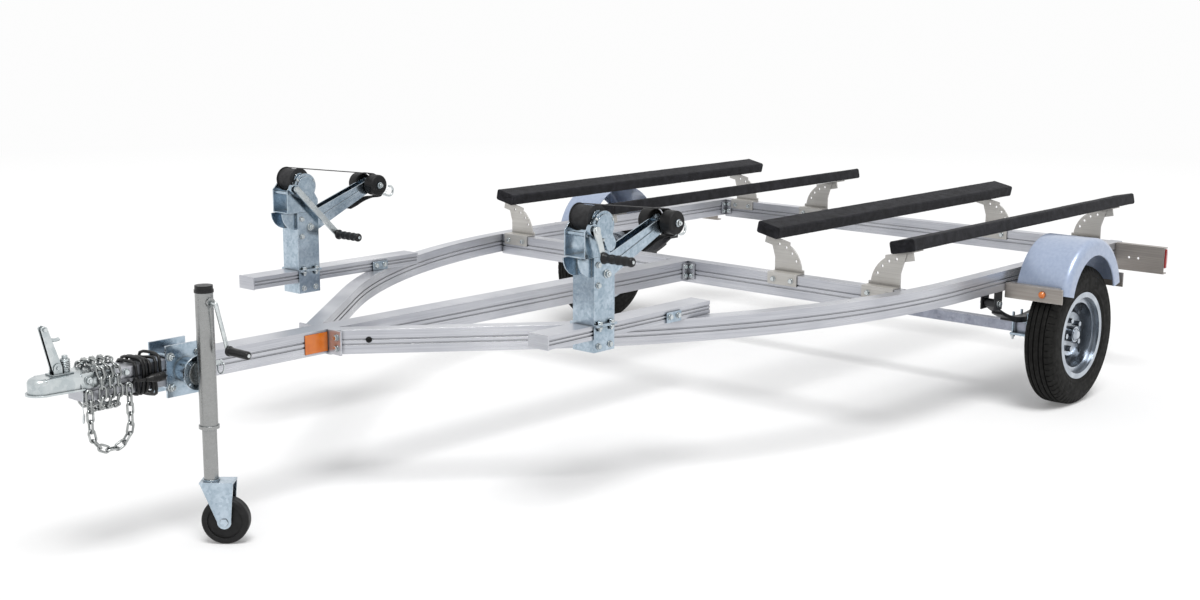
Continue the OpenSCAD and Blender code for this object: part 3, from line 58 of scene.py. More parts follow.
# %% [markdown]
# ## The camera
# A lens was fitted to the straight edges of the beams, so the camera stands where the photographer stood:
# ahead of the trailer on its left, about as high as a person's chest, looking down a little. Its axes are
# worked out from the heading, the dip and the small roll, because that is how one reads them off a tripod.

# %% Camera
IMAGE_W = 1200
SENSOR_W = 36
FOCAL_PX = 1634.27
HEADING = math.radians(41.739)
DIP = math.radians(10.820)
ROLL = math.radians(0.30)
CAMERA_AT = Vector((4.4105, 3.9384, 1.5612))


def camera_axes(heading, dip, roll):
    """Right, up and backward of a camera that looks to -X and -Y by the heading, and down by the dip."""
    level = math.cos(dip)
    ahead = Vector((-math.cos(heading) * level, -math.sin(heading) * level, -math.sin(dip)))
    right = ahead.cross(Vector((0, 0, 1))).normalized()
    up = right.cross(ahead)
    straight = math.cos(roll)
    lean = math.sin(roll)
    return right * straight + up * lean, up * straight - right * lean, -ahead


lens = bpy.data.cameras.new("camera")
lens.sensor_width = SENSOR_W
lens.lens = FOCAL_PX * SENSOR_W / IMAGE_W
camera = bpy.data.objects.new("camera", lens)
axes = Matrix(camera_axes(HEADING, DIP, ROLL)).transposed().to_4x4()
camera.matrix_world = Matrix.Translation(CAMERA_AT) @ axes
bpy.context.scene.collection.objects.link(camera)
bpy.context.scene.camera = camera
print("lens in mm:", round(lens.lens, 2))

# %% [markdown]
# ## Shader sums in plain Python
# A material in Blender is a graph of nodes, and a graph is slow to read. The small class below wraps one
# socket and lets Python's own operators add the Math nodes, so that `1 - mask` is a mask turned round. Every
# other node comes from the one method `node`: its type, then its settings, then the values or links of its
# sockets.


# %% A socket that does sums
class Wire:
    """One output socket of a material, which can be added to, scaled and fed to other nodes."""

    def __init__(self, tree, socket):
        self.tree = tree
        self.socket = socket

    def node(self, kind, settings=None, sockets=None, out=0):
        """New node of a kind, with its settings and then its sockets; gives the wire of one output."""
        made = self.tree.nodes.new(kind)
        for key, value in (settings or {}).items():
            setattr(made, key, value)
        for key, value in (sockets or {}).items():
            if isinstance(value, Wire):
                self.tree.links.new(value.socket, made.inputs[key])
            else:
                made.inputs[key].default_value = value
        return Wire(self.tree, made.outputs[out])

    def sums(self, operation, first, second):
        return self.node("ShaderNodeMath", {"operation": operation}, {0: first, 1: second})

    def __add__(self, other):
        return self.sums("ADD", self, other)

    def __radd__(self, other):
        return self.sums("ADD", other, self)

    def __sub__(self, other):
        return self.sums("SUBTRACT", self, other)

    def __rsub__(self, other):
        return self.sums("SUBTRACT", other, self)

    def __mul__(self, other):
        return self.sums("MULTIPLY", self, other)

    def __rmul__(self, other):
        return self.sums("MULTIPLY", other, self)


print("operators ready:", [name for name in ("__add__", "__rsub__", "__rmul__") if hasattr(Wire, name)])

# %% [markdown]
# ## The few textures that every finish needs
# Metal, rubber and carpet all look real because something varies a little: a stretched noise for drawn
# metal, a cell pattern for zinc crystals, a fine noise for pile. Two helpers look at the shape itself.
# `corner` asks how much a softened normal differs from the true one, which is large only along edges, and
# `painted_shade_mask` asks how closed in a place is, which is where painted shade darkens it. A colour goes
# through Mix, because a Math node would turn it grey.

# %% Texture helpers
NOISE_SPAN = (0.3, 0.7)
EDGE_SPAN = (0.97, 0.80)
GROOVE_SPAN = (0.85, 0.35)


def stretched(place, x, y, z):
    """Coordinates multiplied along each axis, so that a pattern is drawn out along the smallest number."""
    return place.node("ShaderNodeVectorMath", {"operation": "MULTIPLY"}, {0: place, 1: (x, y, z)})


def speckle(place, scale, detail=2.0):
    """Noise from 0 to 1 with the given number of blobs in a metre."""
    return place.node("ShaderNodeTexNoise", {}, {"Vector": place, "Scale": scale, "Detail": detail})


def spread(value, low, high, to_low=0.0, to_high=1.0):
    """Maps low..high of a value to another span, and stops at its ends."""
    return value.node(
        "ShaderNodeMapRange", {"clamp": True}, {0: value, 1: low, 2: high, 3: to_low, 4: to_high}
    )


def tint(factor, first, second):
    """Colour that goes from the first to the second with the factor; each may be numbers or a wire."""
    ends = [end if isinstance(end, Wire) else (*end, 1) for end in (first, second)]
    return factor.node("ShaderNodeMix", {"data_type": "RGBA"}, {0: factor, 6: ends[0], 7: ends[1]}, out=2)


def softened(place, radius):
    """Normal that is rounded along edges by a radius in metres."""
    return place.node("ShaderNodeBevel", {"samples": 4}, {"Radius": radius})


def corner(soft):
    """1 along the edges that a softened normal rounds, 0 on flat faces."""
    true = soft.node("ShaderNodeNewGeometry", out="True Normal")
    same = soft.node("ShaderNodeVectorMath", {"operation": "DOT_PRODUCT"}, {0: soft, 1: true}, out="Value")
    return spread(same, *EDGE_SPAN)


def painted_shade_mask(place, reach):
    """Mask of painted shade: 1 in grooves and inner corners narrower than the reach, 0 in the open."""
    open_share = place.node("ShaderNodeAmbientOcclusion", {"samples": 6}, {"Distance": reach}, out="AO")
    return spread(open_share, *GROOVE_SPAN)


def relief(height, distance, strength, normal):
    """Normal of a surface whose height runs from 0 to 1 over a distance in metres."""
    sockets = {"Height": height, "Distance": distance, "Strength": strength, "Normal": normal}
    return height.node("ShaderNodeBump", {}, sockets)


print("texture helpers ready")

# %% [markdown]
# ## How a finish is put together
# Blender gives a new material one shader with many sockets. What is the same all over the surface is set on
# the socket itself, and what varies is linked to it, so that an export can tell the two apart.


# %% Material helpers
def finish_of(name, fixed):
    """New material: itself, its shader and the object coordinates, with the constant sockets set."""
    material = bpy.data.materials.new(name)
    material.use_nodes = True
    tree = material.node_tree
    shader = tree.nodes["Principled BSDF"]
    for key, value in fixed.items():
        shader.inputs[key].default_value = value
    place = Wire(tree, tree.nodes.new("ShaderNodeTexCoord").outputs["Object"])
    return material, shader, place


def feed(shader, links):
    """Joins varying values to the shader's sockets."""
    for key, wire in links.items():
        wire.tree.links.new(wire.socket, shader.inputs[key])


finishes = {}
print("material helpers ready")

# %% [markdown]
# ## Extruded aluminium
# The frame is drawn through a die, which leaves fine lines along every beam and a satin that is brighter
# than any paint. A picture of brushed metal would repeat along four metres of beam, so a noise is used. All
# beams lie flat, and squeezed in Z it gives lines that follow even the bent rails. Broad, faint clouds keep
# the long faces from looking like one colour, and painted shade darkens the grooves. The brackets are cut
# from rolled sheet, which is duller and warmer, so they get the same recipe with other colours.

# %% Aluminium
DIE_LINES = 420
WORN_ALUMINIUM = (0.93, 0.93, 0.94)
# Columns: dark tone, light tone, painted shade in grooves, roughness of the dark and of the light tone
ALUMINIUM_KINDS = {
    "aluminium": ((0.41, 0.422, 0.467), (0.67, 0.68, 0.715), (0.09, 0.095, 0.11), (0.40, 0.24)),
    "rolled_sheet": ((0.46, 0.445, 0.42), (0.62, 0.605, 0.575), (0.16, 0.15, 0.14), (0.52, 0.38)),
    "dull_sheet": ((0.27, 0.245, 0.225), (0.46, 0.425, 0.39), (0.10, 0.09, 0.085), (0.50, 0.36)),
}


def drawn_metal(name, dark, light, groove_shade, rough):
    """Satin metal with fine lines along the beams, bright edges and painted shade in the grooves."""
    material, shader, place = finish_of(name, {"Metallic": 0.72})
    lines = speckle(stretched(place, 3, 3, DIE_LINES), 1.0, 3.0)
    clouds = speckle(stretched(place, 1, 1, 2), 4.0, 3.0)
    mixed = lines * 0.55 + clouds * 0.45
    soft = softened(place, 0.0012)
    bare = tint(spread(mixed, *NOISE_SPAN), dark, light)
    worn = tint(corner(soft), bare, WORN_ALUMINIUM)
    # Painted shade: the colour goes darker in grooves and inner corners.
    feed(shader, {
        "Base Color": tint(painted_shade_mask(place, 0.022), worn, groove_shade),
        "Roughness": spread(mixed, *NOISE_SPAN, *rough),
        "Normal": relief(lines, 0.00025, 0.5, soft),
    })
    return material


for name, columns in ALUMINIUM_KINDS.items():
    finishes[name] = drawn_metal(name, *columns)
print("aluminium nodes:", len(finishes["aluminium"].node_tree.nodes))

# %% [markdown]
# ## Galvanised and bright zinc
# Hot zinc freezes in flat crystals, each with its own tone, so a cell pattern tints the winch stands and the
# jack's bracket and fork. The coupler and the bolts are plated, which is smoother and paler. The axle is
# darker and bluish, the jack's tubes a plain grey and the chain a dark steel, and the same recipe in other
# tones does for them too. A soft noise stands for handling marks, and it changes the gloss as well as the
# tone. Upright streaks are where the zinc ran off.

# %% Zinc finishes
WORN_ZINC = (0.88, 0.90, 0.90)
# Colour of the painted shade in grooves and inner corners
ZINC_PAINTED_SHADE = (0.14, 0.16, 0.17)
# Columns: dark tone, light tone, crystals in a metre, roughness at both ends of the marks
ZINC_KINDS = {
    "galvanised": ((0.22, 0.30, 0.37), (0.58, 0.67, 0.755), 120.0, (0.28, 0.14)),
    "zinc": ((0.40, 0.455, 0.475), (0.76, 0.79, 0.79), 60.0, (0.30, 0.15)),
    "axle_zinc": ((0.20, 0.215, 0.26), (0.42, 0.44, 0.52), 90.0, (0.40, 0.28)),
    "jack_grey": ((0.285, 0.29, 0.287), (0.365, 0.37, 0.367), 200.0, (0.32, 0.22)),
    "chain_steel": ((0.17, 0.18, 0.18), (0.56, 0.58, 0.57), 60.0, (0.30, 0.16)),
}


def zinc_finish(name, dark, light, crystals, rough):
    """Metal with crystals, handling marks and streaks, bright edges and painted shade in corners."""
    material, shader, place = finish_of(name, {"Metallic": 1.0})
    cells = place.node("ShaderNodeTexVoronoi", {}, {"Vector": place, "Scale": crystals}, out=1)
    tone = cells.node("ShaderNodeRGBToBW", {}, {0: cells})
    marks = speckle(place, 24.0, 5.0)
    streaks = speckle(stretched(place, 14, 14, 3), 1.0, 3.0)
    mixed = tone * 0.22 + marks * 0.33 + streaks * 0.45
    soft = softened(place, 0.001)
    bare = tint(spread(mixed, 0.25, 0.75), dark, light)
    worn = tint(corner(soft), bare, WORN_ZINC)
    # Painted shade: the colour goes darker in grooves and inner corners.
    feed(shader, {
        "Base Color": tint(painted_shade_mask(place, 0.02), worn, ZINC_PAINTED_SHADE),
        "Roughness": spread(marks, *NOISE_SPAN, *rough),
        "Normal": relief(marks, 0.0006, 0.35, soft),
    })
    return material


for name, columns in ZINC_KINDS.items():
    finishes[name] = zinc_finish(name, *columns)
print("zinc finishes:", list(ZINC_KINDS))

# %% [markdown]
# ## Paint, lenses, plastic and rubber
# The fenders are a pale blue silver with a clear coat, the wheels a brighter silver, the springs satin
# black. Moulded plastic and rubber are nearly black, but never quite: a faint noise in colour and roughness
# makes them catch light unevenly. A clear lens would need its lamp inside, so a lens is a deep colour under
# a glossy coat. Carpet and webbing take the same recipe with a coarser relief and hardly any gloss.


# %% Recipe for coated and moulded finishes
def coated(name, dark, light, rough, grain, depth, fixed, shade_reach=0.03):
    """Two tones under a fine grain, paler where edges are worn and darkened by painted shade in closed
    corners.
    """
    material, shader, place = finish_of(name, fixed)
    coarse = speckle(place, grain / 12, 4.0)
    fine = speckle(place, grain, 2.0)
    soft = softened(place, 0.001)
    worn = corner(soft) * spread(coarse, 0.45, 0.65)
    pale = [min(1, 1.5 * part + 0.02) for part in light]
    # Painted shade tone: a quarter of the dark tone, laid into closed corners and the wheel's deep dish.
    deep = [0.25 * part for part in dark]
    clean = tint(worn, tint(spread(coarse, *NOISE_SPAN), dark, light), pale)
    # Painted shade: the base colour goes to that tone where a place is closed in.
    feed(shader, {
        "Base Color": tint(painted_shade_mask(place, shade_reach), clean, deep),
        "Roughness": spread(coarse, *NOISE_SPAN, *rough),
        "Normal": relief(fine, depth, 0.4, soft),
    })
    return material


# %% Painted and moulded finishes
CLEAR_COAT = {"Metallic": 0.35, "Coat Weight": 0.5, "Coat Roughness": 0.12}
LENS_COAT = {"Coat Weight": 0.6}
PILE_SHEEN = {"Sheen Weight": 0.08, "Specular IOR Level": 0.3}
BLACK = ((0.004, 0.004, 0.0045), (0.009, 0.009, 0.0095))
# Columns: dark tone, light tone, roughness of both, grains in a metre, their depth, fixed sockets, and
# for the deep dish of a wheel how far its painted shade reaches
COATED_KINDS = {
    "fender_paint": ((0.345, 0.42, 0.58), (0.42, 0.495, 0.645), (0.36, 0.28), 900.0, 0.00012, CLEAR_COAT),
    "wheel_silver": (
        (0.37, 0.41, 0.465), (0.53, 0.575, 0.63), (0.26, 0.16), 260.0, 0.0003, {"Metallic": 0.95}, 0.13,
    ),
    "black_paint": ((0.012, 0.012, 0.014), (0.03, 0.03, 0.033), (0.5, 0.34), 500.0, 0.0003, {}),
    "tyre": (
        (0.0040, 0.0039, 0.0034), (0.0090, 0.0088, 0.0080), (0.85, 0.66), 700.0, 0.0004,
        {"Specular IOR Level": 0.22},
    ),
    "black_rubber": (*BLACK, (0.62, 0.45), 600.0, 0.0003, {"Specular IOR Level": 0.3}),
    "black_plastic": (*BLACK, (0.46, 0.32), 1200.0, 0.0001, {"Specular IOR Level": 0.35}),
    "red_lens": ((0.36, 0.008, 0.010), (0.54, 0.02, 0.02), (0.16, 0.10), 300.0, 0.0002, LENS_COAT),
    "amber_lens": ((0.68, 0.14, 0.004), (0.82, 0.22, 0.008), (0.22, 0.14), 300.0, 0.0002, LENS_COAT),
    "carpet": ((0.004, 0.004, 0.0055), (0.017, 0.017, 0.022), (0.98, 0.9), 420.0, 0.0022, PILE_SHEEN),
    "strap_webbing": ((0.007, 0.007, 0.008), (0.017, 0.017, 0.019), (0.8, 0.65), 800.0, 0.0006, {}),
}
for name, columns in COATED_KINDS.items():
    finishes[name] = coated(name, *columns)
print("finishes:", len(finishes))

# %% [markdown]
# ## Dressing the CAD nodes
# The record says which finish each node takes, so one loop dresses the whole trailer. A few nodes get a
# closer match of the same metal: the bunk brackets of rolled sheet, the duller brackets of fenders and
# lamps, the bluish axle and the plain grey tubes of the jack.

# %% Finishes for every node
CLOSER_MATCH = {
    "bunk_brackets_front": "rolled_sheet",
    "bunk_brackets_rear": "rolled_sheet",
    "fender_brackets": "dull_sheet",
    "tail_brackets": "dull_sheet",
    "axle_beam": "axle_zinc",
    "jack_tube": "jack_grey",
    "jack_inner_tube": "jack_grey",
}
for part in frame["record"]["subparts"]:
    mesh = nodes[part["node"]].data
    mesh.materials.clear()
    mesh.materials.append(finishes[CLOSER_MATCH.get(part["node"], part["material_slot"])])

# %% [markdown]
# ## Small solids from one mould
# Bolts, wires, grips and hooks are too small for the CAD model, yet they are what the eye looks for. Blender
# could add each as a primitive and join them, but a hundred operators are slow. So a `Mould` collects the
# points and faces of many solids as plain lists: rings of points are skinned, and a turned part or a bent
# wire is only a special set of rings. At the end one mesh is made, and it rides on the body that carries it.

# %% Mould
MM = 0.001
AXLE_X = -1.3625


def spot(x, y, z):
    """A place in millimetres, with x counted from the axle, as a point of the scene."""
    return Vector((x * MM + AXLE_X, y * MM, z * MM))


def round_turn(sides):
    """Cosine and sine of equal steps round a circle."""
    angles = [2 * math.pi * i / sides for i in range(sides)]
    return [(math.cos(angle), math.sin(angle)) for angle in angles]


class Mould:
    """Collects the points and faces of several solids and makes one piece of them."""

    def __init__(self):
        self.points = []
        self.faces = []

    def skin(self, rings, closed=False):
        """Faces over rings of equally many points; closed joins the last ring to the first."""
        first = len(self.points)
        count = len(rings[0])
        self.points.extend(tuple(point) for ring in rings for point in ring)
        for low in range(len(rings) if closed else len(rings) - 1):
            a = first + low * count
            b = first + (low + 1) % len(rings) * count
            for i in range(count):
                j = (i + 1) % count
                self.faces.append((a + i, a + j, b + j, b + i))
        if not closed:
            last = first + (len(rings) - 1) * count
            self.faces.append(tuple(range(first + count - 1, first - 1, -1)))
            self.faces.append(tuple(range(last, last + count)))

    def turned(self, centre, axis, profile, sides=20):
        """Solid turned about an axis from pairs of radius and height in millimetres."""
        axis = Vector(axis).normalized()
        across = axis.orthogonal().normalized()
        beside = axis.cross(across)
        turn = round_turn(sides)
        self.skin([
            [centre + (axis * height + (across * c + beside * s) * radius) * MM for c, s in turn]
            for radius, height in profile
        ])

    def wire(self, path, radius, sides=8, closed=False):
        """Round wire along a path of points, with its radius in millimetres."""
        rings = []
        across = None
        turn = round_turn(sides)
        for i, point in enumerate(path):
            after = path[(i + 1) % len(path)] if closed or i + 1 < len(path) else point
            before = path[i - 1] if closed or i else point
            along = (after - before).normalized()
            across = along.orthogonal() if across is None else across - along * across.dot(along)
            across.normalize()
            beside = along.cross(across)
            rings.append([point + (across * c + beside * s) * radius * MM for c, s in turn])
        self.skin(rings, closed)

    def bolt(self, centre, axis, wide=16.0, thread=0.0):
        """Hexagon on a washer, with the end of its thread where there is one."""
        reach = wide / math.sqrt(3)
        washer = 1.2 * reach
        top = 0.6 * wide
        self.turned(centre, axis, [(washer, -0.4), (washer, 1.4), (1.1 * reach, 2.0)], 24)
        self.turned(centre, axis, [(reach, 1.6), (reach, 0.85 * top), (0.84 * reach, top)], 6)
        if thread:
            stub = 0.3 * wide
            end = top + thread
            self.turned(centre, axis, [(stub, 1.6), (stub, end - 1), (0.7 * stub, end)], 14)

    def piece(self, name, body, slot, crease=40.0):
        """One mesh of all that was collected, with sharp edges above the crease angle."""
        mesh = bpy.data.meshes.new(name)
        mesh.from_pydata(self.points, [], self.faces)
        worked = bmesh.new()
        worked.from_mesh(mesh)
        bmesh.ops.recalc_face_normals(worked, faces=worked.faces)
        worked.to_mesh(mesh)
        worked.free()
        mesh.shade_smooth()
        mesh.set_sharp_from_angle(angle=math.radians(crease))
        mesh.materials.append(finishes[slot])
        made = bpy.data.objects.new(name, mesh)
        bpy.context.scene.collection.objects.link(made)
        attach(made, body)
        print(name, "faces:", len(mesh.polygons))
        return made


print("mould ready, with the axle at x =", AXLE_X)

# %% [markdown]
# ## Carpeted bunks
# Each bunk is a board wrapped in black marine carpet: short dense pile, soft edges, a lap along the
# underside and the ends folded over like a parcel. Cloth simulation would only puff it up, since the carpet
# is glued to the board, and hair would be lost in an export. So the section of the board is stacked along
# its length in steps of a few millimetres, and noise presses each point in by about a millimetre, which
# gives the nap a real outline.

# %% Section of a bunk
BUNK_REAR = -911
BUNK_FRONT = 878
BUNK_W = 100
BUNK_T = 46
BUNK_EDGE = 9
PILE_STEP = 4.2


def board_section():
    """Points round the board's section with their outward directions, as rows of y, z, out y and out z."""
    flat_y = BUNK_W / 2 - BUNK_EDGE
    flat_z = BUNK_T / 2 - BUNK_EDGE
    corners = (
        (flat_y, flat_z, flat_y),
        (-flat_y, flat_z, flat_z),
        (-flat_y, -flat_z, flat_y),
        (flat_y, -flat_z, flat_z),
    )
    rows = []
    for quarter, (y, z, half) in enumerate(corners):
        for step in range(5):
            angle = math.radians(90 * quarter + 22.5 * step)
            out_y = math.cos(angle)
            out_z = math.sin(angle)
            rows.append((y + BUNK_EDGE * out_y, z + BUNK_EDGE * out_z, out_y, out_z))
        y, z, out_y, out_z = rows[-1]
        count = round(2 * half / PILE_STEP)
        for step in range(1, count):
            run = 2 * half * step / count
            rows.append((y - out_z * run, z + out_y * run, out_y, out_z))
    return rows


print("points round a bunk:", len(board_section()))

# %% Pile and folded ends
TUFTS = 0.30
PILE_DEPTH = 0.75
WAVES_ALONG = 0.011
WAVES_ACROSS = 0.03
WAVE_DEPTH = 0.45
LAP_Y = 6
LAP_DEPTH = 1.5
FOLD_EDGE = 4
FOLD_DEPTH = 2.4
# Columns: share of the section, millimetres back from the end
END_RINGS = (
    (1.0, 5.0), (0.985, 2.0), (0.95, 0.6), (0.88, 0), (0.78, 0), (0.66, 0), (0.5, 0), (0.3, 0), (0.08, 0),
)


def nap(x, y, z, seed):
    """How far the pile is pressed in at a place on a bunk, in millimetres."""
    tuft = noise.noise(Vector((x * TUFTS + seed, y * TUFTS, z * TUFTS)))
    wave = noise.noise(Vector((x * WAVES_ALONG, y * WAVES_ACROSS + seed, z * WAVES_ACROSS)))
    return PILE_DEPTH + PILE_DEPTH * tuft + WAVE_DEPTH * wave


def ramp(value):
    """The value, held between 0 and 1."""
    return min(1, max(0, value))


def folded_end(section, end, outer, seed):
    """Rings of one end, from its rim to its middle; the lower flap is tucked in below the others."""
    fold = []
    for share, back in END_RINGS:
        ring = []
        for y, z, _, _ in section:
            flap = ramp((0.5 * abs(y) - z - FOLD_EDGE) / FOLD_EDGE)
            under = FOLD_DEPTH * flap if back == 0 else 0
            press = back + under + nap(outer, y * share, z * share, seed)
            ring.append((outer - end * press, y * share, z * share))
        fold.append(ring)
    return fold


def bunk_rings(seed):
    """Rings of (x, y, z) from the rear fold over the length to the front fold."""
    section = board_section()
    rear = folded_end(section, -1, BUNK_REAR, seed)
    front = folded_end(section, 1, BUNK_FRONT, seed)
    count = round((BUNK_FRONT - BUNK_REAR) / PILE_STEP)
    length = []
    for i in range(3, count - 2):
        x = BUNK_REAR + (BUNK_FRONT - BUNK_REAR) * i / count
        ring = []
        for y, z, out_y, out_z in section:
            lap = LAP_DEPTH if out_z < -0.99 and y > LAP_Y else 0
            press = nap(x, y, z, seed) + lap
            ring.append((x, y - out_y * press, z - out_z * press))
        length.append(ring)
    return rear[::-1] + length + front


print("rings at each end:", len(END_RINGS))

# %% Bunks
SIDES = ((1, "left"), (-1, "right"))
BUNK_TILT = math.radians(12)
BUNK_Z = 681
CRADLE_Y = 690
CRADLE_HALF = 287


def carpet_bunk(side, side_name, lean, lean_name):
    """One bunk, tilted towards the middle of its cradle."""
    c = math.cos(lean * BUNK_TILT)
    s = math.sin(lean * BUNK_TILT)
    middle = CRADLE_Y + lean * CRADLE_HALF
    mould = Mould()
    mould.skin([
        [spot(x, side * (middle + y * c - z * s), BUNK_Z + y * s + z * c) for x, y, z in ring]
        for ring in bunk_rings(7 * side + 3 * lean)
    ])
    made = mould.piece(f"carpet_{side_name}_{lean_name}", "frame", "carpet", 80)
    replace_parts(made, f"bunk_{side_name}_{lean_name}")


for side, side_name in SIDES:
    for lean, lean_name in ((1, "outer"), (-1, "inner")):
        carpet_bunk(side, side_name, lean, lean_name)

# %% [markdown]
# ## Tyres with a tread
# The CAD tyre is a plain ring, because physics rolls better on one. The real one has four grooves round it,
# short cuts across its shoulders and fine rings on its walls. A Boolean for each cut would take minutes.
# Here the section is turned in uneven steps, and where a step falls in a cut, its shoulder points are drawn
# in.

# %% Section of a tyre
WALL_R = 156
WALL_MID_R = 210
WALL_Y = -94
CUT_DEPTH = 3.2
CUT_FROM = 33
CUT_TO = 58
# Columns: distance from the middle of the tread, radius
TREAD = (
    (0, 268.0), (7.8, 268.0), (8.6, 267.5), (9.3, 261.8), (12.7, 261.8), (13.4, 267.4), (14.2, 267.9),
    (20.5, 267.8), (26.8, 267.6), (27.6, 267.1), (28.3, 261.2), (31.7, 261.2), (32.4, 266.8), (33.2, 267.3),
    (37, 267.0), (41, 266.1), (45, 263.9), (48.6, 260.5), (51, 256.6), (52.8, 252.8), (55.2, 248.8),
    (57.4, 244.4),
)
# Columns: radius, how far it stands out from the round wall
WALL_RINGS = (
    (240, 0), (236, 0), (233, 0), (232, 0.9), (230, 0.9), (229, 0), (220, 0), (210, 0), (200, 0), (191, 0),
)
BEAD_RINGS = ((186, 0), (184, 1.0), (179, 1.2), (177, 0), (173, 0), (169.5, -0.4))
INNER = ((49.4, 167.8), (49.4, 152.6))


def tyre_half():
    """Rows of y, radius and depth of the shoulder cut, from the middle of the tread to the bead."""
    rows = []
    for y, radius in TREAD:
        shoulder = ramp((y - CUT_FROM) / 3) * ramp((CUT_TO - y) / 3)
        rows.append((y, radius, CUT_DEPTH * shoulder))
    for radius, raised in WALL_RINGS + BEAD_RINGS:
        wall = WALL_Y + math.sqrt(WALL_R ** 2 - (radius - WALL_MID_R) ** 2)
        rows.append((wall + raised, radius, 0))
    return rows + [(y, radius, 0) for y, radius in INNER]


print("points of half a tyre's section:", len(tyre_half()))

# %% Tyres
TYRE_R = 268
WHEEL_Y = 1196
PITCHES = 64
# Columns: share of a pitch, 1 inside a cut
PITCH_STEPS = ((0, 0), (0.10, 0), (0.135, 1), (0.265, 1), (0.30, 0), (0.65, 0))


def tread_tyre(side, side_name):
    """One tyre; the cuts of its two shoulders stand half a pitch apart."""
    half = tyre_half()
    rows = [(-y, radius, cut) for y, radius, cut in half[:0:-1]] + half
    rings = []
    for pitch in range(PITCHES):
        for share, deep in PITCH_STEPS:
            ring = []
            for y, radius, cut in rows:
                shift = 0.5 if y < 0 else 0
                angle = 2 * math.pi * (pitch + share + shift) / PITCHES
                reach = radius - deep * cut
                forward = reach * math.cos(angle)
                up = reach * math.sin(angle)
                ring.append(spot(forward, side * WHEEL_Y + y, TYRE_R + up))
            rings.append(ring)
    mould = Mould()
    mould.skin(rings, closed=True)
    made = mould.piece(f"tread_{side_name}", f"wheel_{side_name}", "tyre", 32)
    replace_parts(made, f"tyre_{side_name}")


for side, side_name in SIDES:
    tread_tyre(side, side_name)

# %% [markdown]
# ## Safety chain
# The chain is wrapped round the coupler, and its slack hangs in a loop from two pins. The CAD links have six
# flat sides to stay light, so they are replaced by round ones on the same joints, with a turn more on each
# side of the first. An array along a curve would not turn every second link, so each link is its own bent
# wire, set between two joints and rolled by a quarter turn.

# %% Where the links join
CHAIN_PITCH = 28.0
CHAIN_FALL = 4
CHAIN_TURN = 7
CHAIN_COUNT = 2 * CHAIN_FALL + CHAIN_TURN
CHAIN_TURN_R = (CHAIN_PITCH - 0.6) / 2 / math.sin(math.radians(90 / CHAIN_TURN))
CHAIN_Y = 54.8
WRAP_COUNT = 16
WRAP_HALF_Y = 64.8
WRAP_HALF_Z = 64.65
WRAP_EASE = math.radians(1.6)


def hang_joint(i):
    """Joint of the hanging loop: straight down, round the bottom in even steps and up again."""
    if i < CHAIN_FALL:
        return Vector((CHAIN_TURN_R, CHAIN_Y, -i * CHAIN_PITCH))
    if i > CHAIN_FALL + CHAIN_TURN:
        return Vector((-CHAIN_TURN_R, CHAIN_Y, -(CHAIN_COUNT - i) * CHAIN_PITCH))
    angle = math.pi * (i - CHAIN_FALL) / CHAIN_TURN
    drop = -CHAIN_FALL * CHAIN_PITCH - CHAIN_TURN_R * math.sin(angle)
    return Vector((CHAIN_TURN_R * math.cos(angle), CHAIN_Y, drop))


def wrap_joint(i):
    """Joint of a turn round the coupler, whose section is a rounded square."""
    even = 2 * math.pi * i / WRAP_COUNT
    angle = even + WRAP_EASE * math.sin(4 * even)
    c = math.cos(angle)
    s = math.sin(angle)
    reach = (abs(c / WRAP_HALF_Y) ** 3 + abs(s / WRAP_HALF_Z) ** 3) ** (-1 / 3)
    return Vector((0, reach * c, reach * s))


print("links in the loop:", CHAIN_COUNT, "in each turn:", WRAP_COUNT)

# %% Chain
CHAIN_X = 3430
CHAIN_TOP = 481.5
WRAP_Z = 486.95
WRAP_STEP = 25
LINK_LENGTH = 42
LINK_WIRE = 3.25
LINK_BEND = LINK_LENGTH / 4 - LINK_WIRE / 2
LINK_HALF = LINK_LENGTH / 2 - LINK_BEND - LINK_WIRE
PIN_Y = 42.8
PIN_PROFILE = ((LINK_WIRE, 0), (LINK_WIRE, 17), (5.2, 17.2), (5.2, 19.2), (3.6, 20.4))


def add_link(mould, base, a, b, roll):
    """One link between two joints, rolled about its own length by degrees."""
    along = (b - a).normalized()
    flat = Vector((-along.y, along.x, 0))
    level = flat.normalized() if flat.length > 1e-6 else Vector((0, 1, 0))
    across = Matrix.Rotation(math.radians(roll), 3, along) @ level
    path = []
    for end in (1, -1):
        for step in range(9):
            angle = math.radians(-90 + 22.5 * step)
            x = end * (LINK_HALF + LINK_BEND * math.cos(angle))
            y = end * LINK_BEND * math.sin(angle)
            path.append(base + ((a + b) / 2 + along * x + across * y) * MM)
    mould.wire(path, LINK_WIRE, 10, closed=True)


chain = Mould()
for i in range(CHAIN_COUNT):
    top = spot(CHAIN_X, 0, CHAIN_TOP)
    add_link(chain, top, hang_joint(i), hang_joint(i + 1), 90 * (1 - i % 2))
for shift in (-WRAP_STEP, 0, WRAP_STEP):
    middle = spot(CHAIN_X + shift, 0, WRAP_Z)
    for i in range(WRAP_COUNT):
        add_link(chain, middle, wrap_joint(i), wrap_joint(i + 1), 45 - 90 * (i % 2))
for x in (CHAIN_TURN_R, -CHAIN_TURN_R):
    pin = spot(CHAIN_X + x, PIN_Y, CHAIN_TOP - LINK_WIRE)
    chain.turned(pin, (0, 1, 0), PIN_PROFILE, 16)
links = chain.piece("chain_links", "frame", "zinc", 60)
links.data.materials[0] = finishes["chain_steel"]
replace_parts(links, "safety_chains")

# %% [markdown]
# ## Wiring lead and its plug
# The lead for the lamps is wound round the tongue behind the coupler, loosely, as one does it by hand: some
# turns stand off at the top, some sag below, and the moulded plug rests against the side. A curve object
# with a bevel would do, but the path has to miss the beam, so it is computed: a rounded square whose size
# changes from turn to turn. Where the lead turns to its plug, a smooth curve runs through a few points.

